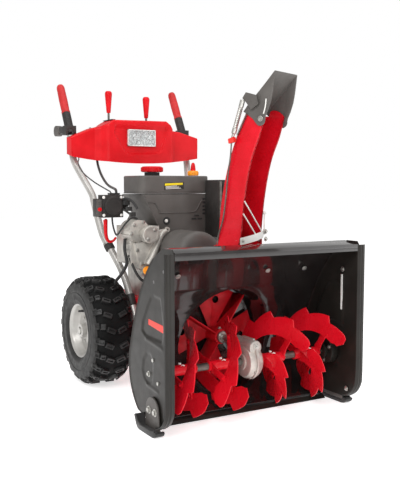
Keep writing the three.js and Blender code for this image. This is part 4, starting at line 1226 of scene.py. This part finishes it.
def tank():
    """The fuel tank with its print, its ribbed cap and the orange choke spout."""
    piece = Piece().use("gray")
    plan = [(-142, 22), (-160, -10), (-160, -110), *arc(-130, -128, 30, 190, 260, 8), (30, -158),
        (90, -158), *arc(112, -132, 26, 280, 350, 8), (140, 30), (120, 44), (-128, 44)]
    piece.prism(plan, "z", 727, 791.5, bevel=7, segments=5, sharp=60)
    lip = [(x * 1.006, y * 1.006) for x, y in plan]
    piece.prism(lip, "z", 724.3, 729.5, bevel=1.2, segments=2, sharp=60)
    piece.use("rubber")
    piece.lathe([(17, 0), (29, 0), (29.5, 1), (29.5, 15), (17, 15)], (-50, -32, 790.5), (0, 0, 1), 48)
    piece.use("dark")
    piece.prism([(-62, 738), (22, 742), (22, 768), (-62, 764)], "y", -158.9, -157.6, bevel=0.3)
    piece.use("yellow")
    piece.prism([(-59, 754), (17, 757.6), (17, 765.5), (-59, 762)], "y", -159.3, -158.4, bevel=0.2)
    piece.use("white")
    for k in range(3):
        z = 741 + k * 4.2
        piece.prism([(-56, z), (10 - 9 * k, z + 3), (10 - 9 * k, z + 5), (-56, z + 2)], "y", -159.2,
            -158.4, bevel=0.2)
    piece.done("tank_shell", "machine", replaces=["fuel_tank"], slot="gray_plastic")
    cap = Piece().use("red_plastic")
    cap.lathe([(0, 0.6), (38, 0.6), (41, 2), (41, 18), (37, 22), (30, 23), (26, 20.5), (0, 20.5)],
        CAP_AT, (0, 0, 1), 72)
    for k in range(18):
        turn = Matrix.Translation(Vector(CAP_AT)) @ Matrix.Rotation(k * 20 * DEG, 4, "Z")
        cap.block(38, 43.6, -4, 4, 2.4, 19, bevel=1.6, segments=3, turn=turn)
    cap.block(-74, -26, -37, -27, 824, 829, bevel=2, segments=3)
    cap.done("fuel_cap_ribbed", "fuel_cap", replaces=["fuel_cap"], slot="red_plastic")
    ring = Piece().use("orange")
    ring.lathe([(0, 792.6), (19, 792.6), (20, 794), (20, 808), (18, 811.5), (8, 812), (0, 812)],
        SPOUT_AT, (0, 0, 1), 40)
    for k in range(14):
        turn = Matrix.Translation(Vector(SPOUT_AT)) @ Matrix.Rotation(k * 360 / 14 * DEG, 4, "Z")
        ring.block(18.5, 21.5, -2, 2, 795, 807, bevel=0.8, turn=turn)
    ring.use("red_plastic")
    ring.lathe([(0, 811), (10, 811), (10, 818), (8, 834), (4.5, 842), (0, 843)], SPOUT_AT, (0, 0, 1),
        28)
    ring.done("choke_spout", "choke_knob", replaces=["choke_knob"], slot="orange_plastic")


def cowl_trim():
    """Pressed lines, vents, a screw and dark bars on the engine's cowling; the black vents and screw
    recess are painted shade.
    """
    piece = Piece().use("gray")
    for line in (
        [(-140, 693), (-104, 691), (-96, 684), (-82, 660), (-74, 652), (40, 653), (70, 656), (82, 668),
            (94, 690), (102, 696), (124, 697)],
        [(-148, 720), (-120, 668), (-92, 612), (-66, 566)],
    ):
        piece.sweep([(x, -159.2, z) for x, z in line], 2.0, 10, 6)
    # the vent slots are black blocks on the face: painted shade of the openings
    piece.use("rubber")
    for z in (704, 690, 676, 662, 648):
        piece.block(104, 126, -160.2, -157.4, z - 3.4, z + 3.4, bevel=1.2)
    for x, z in ((78, 640), (66, 628), (92, 628)):
        piece.block(x - 10, x + 10, -160.2, -157.4, z - 3, z + 3, bevel=1.2)
    # a black disc round the screw: painted shade of its recess
    piece.lathe([(0, 0), (15, 0), (15, 1.4), (13, 2), (0, 2)], (-52, -157.6, 622), (0, -1, 0), 32)
    piece.use("white")
    piece.lathe([(0, 0), (6.4, 0), (6.8, 1), (5, 3.4), (0, 4)], (-54, -159.5, 622), (0, -1, 0), 24)
    piece.use("dark_steel")
    piece.block(117, 126, -266, -256, 562, 772, bevel=2.5, segments=3)
    piece.use("dark")
    for k in range(9):
        piece.block(132 + 6 * k, 135 + 6 * k, -264.6, -261, 590, 760, bevel=0.8)
    piece.done("cowl_trim", "machine", slot="gray_plastic")


def cast_trim():
    """The starter's end cap, the bracket arm, ribs and bolts of the cast engine."""
    motor = Piece().use("cast")
    motor.lathe([(0, 0), (31, 0), (32, 1.6), (32, 36), (30, 38.5), (0, 38.5)], STARTER_AT, (0, -1, 0),
        56)
    motor.lathe([(22, 38), (27, 38), (27, 39.6), (22, 39.6)], STARTER_AT, (0, -1, 0), 56)
    motor.use("steel")
    for a in (50, 230):
        motor.bolt((-158 + 21 * math.cos(a * DEG), -245.3, 578 + 21 * math.sin(a * DEG)), (0, -1, 0),
            4.5, 3)
    motor.done("starter_cap", "machine", replaces=["starter_motor"], slot="cast_aluminium")
    piece = Piece().use("cast")
    piece.sweep([(-156, -211, 468), (-138, -214, 500), (-116, -216, 548), (-100, -217, 578),
        (-84, -217, 590)], lambda t: 13 - 5 * t, 18, 8)
    piece.lathe([(4.5, 0), (9.5, 0), (10, 1), (10, 7), (9.5, 8), (4.5, 8)], (-80, -212, 593),
        (0, -1, 0), 28)
    for k in range(6):
        turn = Matrix.Translation(Vector((-188, -163, 590))) @ Matrix.Rotation((k * 32 + 120) * DEG, 4,
            "Y")
        piece.block(-2.5, 2.5, -42, 42, 37, 44, bevel=1.4, turn=turn)
    for z in (470, 494, 518, 542):
        piece.block(-216.5, -190, -186, -120, z - 2.2, z + 2.2, bevel=1.0)
    piece.use("steel")
    for x, y, z in ((-207, -206, 612), (-172, -206, 622), (-219, -206, 580), (-196, -204.5, 520),
        (-178, -204.5, 470), (-124, -204.5, 436)):
        piece.bolt((x, y, z), (0, -1, 0), 5, 4)
    piece.use("rubber")
    piece.sweep([(-220, -150, 560), (-226, -160, 520), (-222, -168, 470), (-236, -150, 430),
        (-240, -110, 400), (-228, -84, 382)], 6, 14, 8)
    piece.sweep([(-214, -170, 500), (-205, -196, 452), (-190, -208, 420), (-160, -205, 396)], 5, 14, 8)
    piece.done("engine_castings", "machine", slot="cast_aluminium")
    stick = Piece().use("orange")
    axis = (-4.8, -21.4, 5.6)
    stick.lathe([(0, 0), (14, 0), (15.6, 2), (15.6, 9), (13, 12), (0, 12)], (-163.2, -214.8, 444.4),
        axis, 32)
    turn = Matrix.Translation(Vector((-165.9, -226.6, 447.5))) @ along(axis)
    stick.block(-11, 11, -3, 3, 0, 11, bevel=1.6, segments=3, turn=turn)
    stick.done("dipstick_wing", "dipstick", replaces=["dipstick"], slot="orange_plastic")


def switch_trim():
    """The switch box's covers and leads, and the recoil grip."""
    piece = Piece().use("dark")
    cover = [(0, 0), (33, 0), (35, 2), (35, 7.5), (33, 9.5), (28, 10.2), (27, 9), (0, 9)]
    piece.lathe(cover, (-240, -91.5, 680), (0, -1, 0), 56)
    piece.use("gray")
    piece.block(-305.5, -285, -90.5, -86, 643, 703, bevel=1.6, segments=3)
    for z in (650, 688, 695):
        piece.block(-303, -288, -92, -89.8, z - 1.4, z + 1.4, bevel=0.5)
    piece.use("white")
    for x, z in ((-278, 711), (-278, 645), (-208, 711), (-208, 645)):
        piece.lathe([(0, 0), (5.4, 0), (5.8, 1), (4.4, 3), (0, 3.6)], (x, -91.6, z), (0, -1, 0), 24)
    piece.use("rubber")
    for x, y, z in ((-190, -100, 690), (-186, -112, 668), (-178, -126, 648)):
        piece.block(x - 11, x + 11, y - 8, y + 8, z - 8, z + 8, bevel=3, segments=3)
    piece.sweep([(-206, -84, 700), (-192, -104, 706), (-176, -124, 694), (-164, -140, 668)], 5, 14, 8)
    piece.sweep([(-202, -88, 668), (-188, -116, 652), (-172, -138, 634), (-166, -148, 610)], 4, 12, 8)
    piece.done("switch_trim", "machine", slot="black_plastic")
    pull = Piece().use("red_plastic")
    pull.sweep([(-263, -70, 627), (-262.5, -70, 600), (-261, -70, 570), (-254, -70, 550),
        (-243, -70, 545), (-231, -70, 549), (-221, -70, 560)], lambda t: 8.6 - 4.4 * t**0.7, 20, 8)
    pull.block(-266, -257, -74, -66, 616, 631, bevel=2.4, segments=3)
    pull.done("recoil_grip", "recoil_handle", replaces=["recoil_handle"], slot="red_plastic")


def cover_outline(inset, floor):
    """The belt cover's outline in X and Z, drawn in by an inset."""
    top = arc(-28, 500 - inset / 2, 92 - inset, 152, 40, 28)
    return [(-112 + inset, floor), (-112 + inset, 520 - inset / 2), *top, (104 - inset, 500),
        (104 - inset, floor)]


def belt_shell():
    """Two smooth moulded covers with a large round at their front edge."""
    piece = Piece().use("gray")
    for front, back, floor, radius in ((-380.6, -319.5, 130, 24), (-323, -217.2, 332.6, 4)):
        rows = []
        for a in (90, 72, 54, 36, 18, 0):
            inset = radius * (1 - math.cos(a * DEG))
            y = front + radius * (1 - math.sin(a * DEG))
            rows.append([(x, y, z) for x, z in cover_outline(inset, floor)])
        rows.append([(x, back, z) for x, z in cover_outline(0, floor)])
        piece.loft(rows)
    piece.use("steel")
    for x, z in ((-96, 470), (90, 470)):
        piece.bolt((x, -356, z), (0.9 if x > 0 else -0.9, 0, 0.3), 4.5, 3)
    piece.done("belt_cover_shell", "machine", replaces=["belt_cover"], slot="gray_plastic", sharp=42)


belt_shell()
tank()
cowl_trim()
cast_trim()
switch_trim()
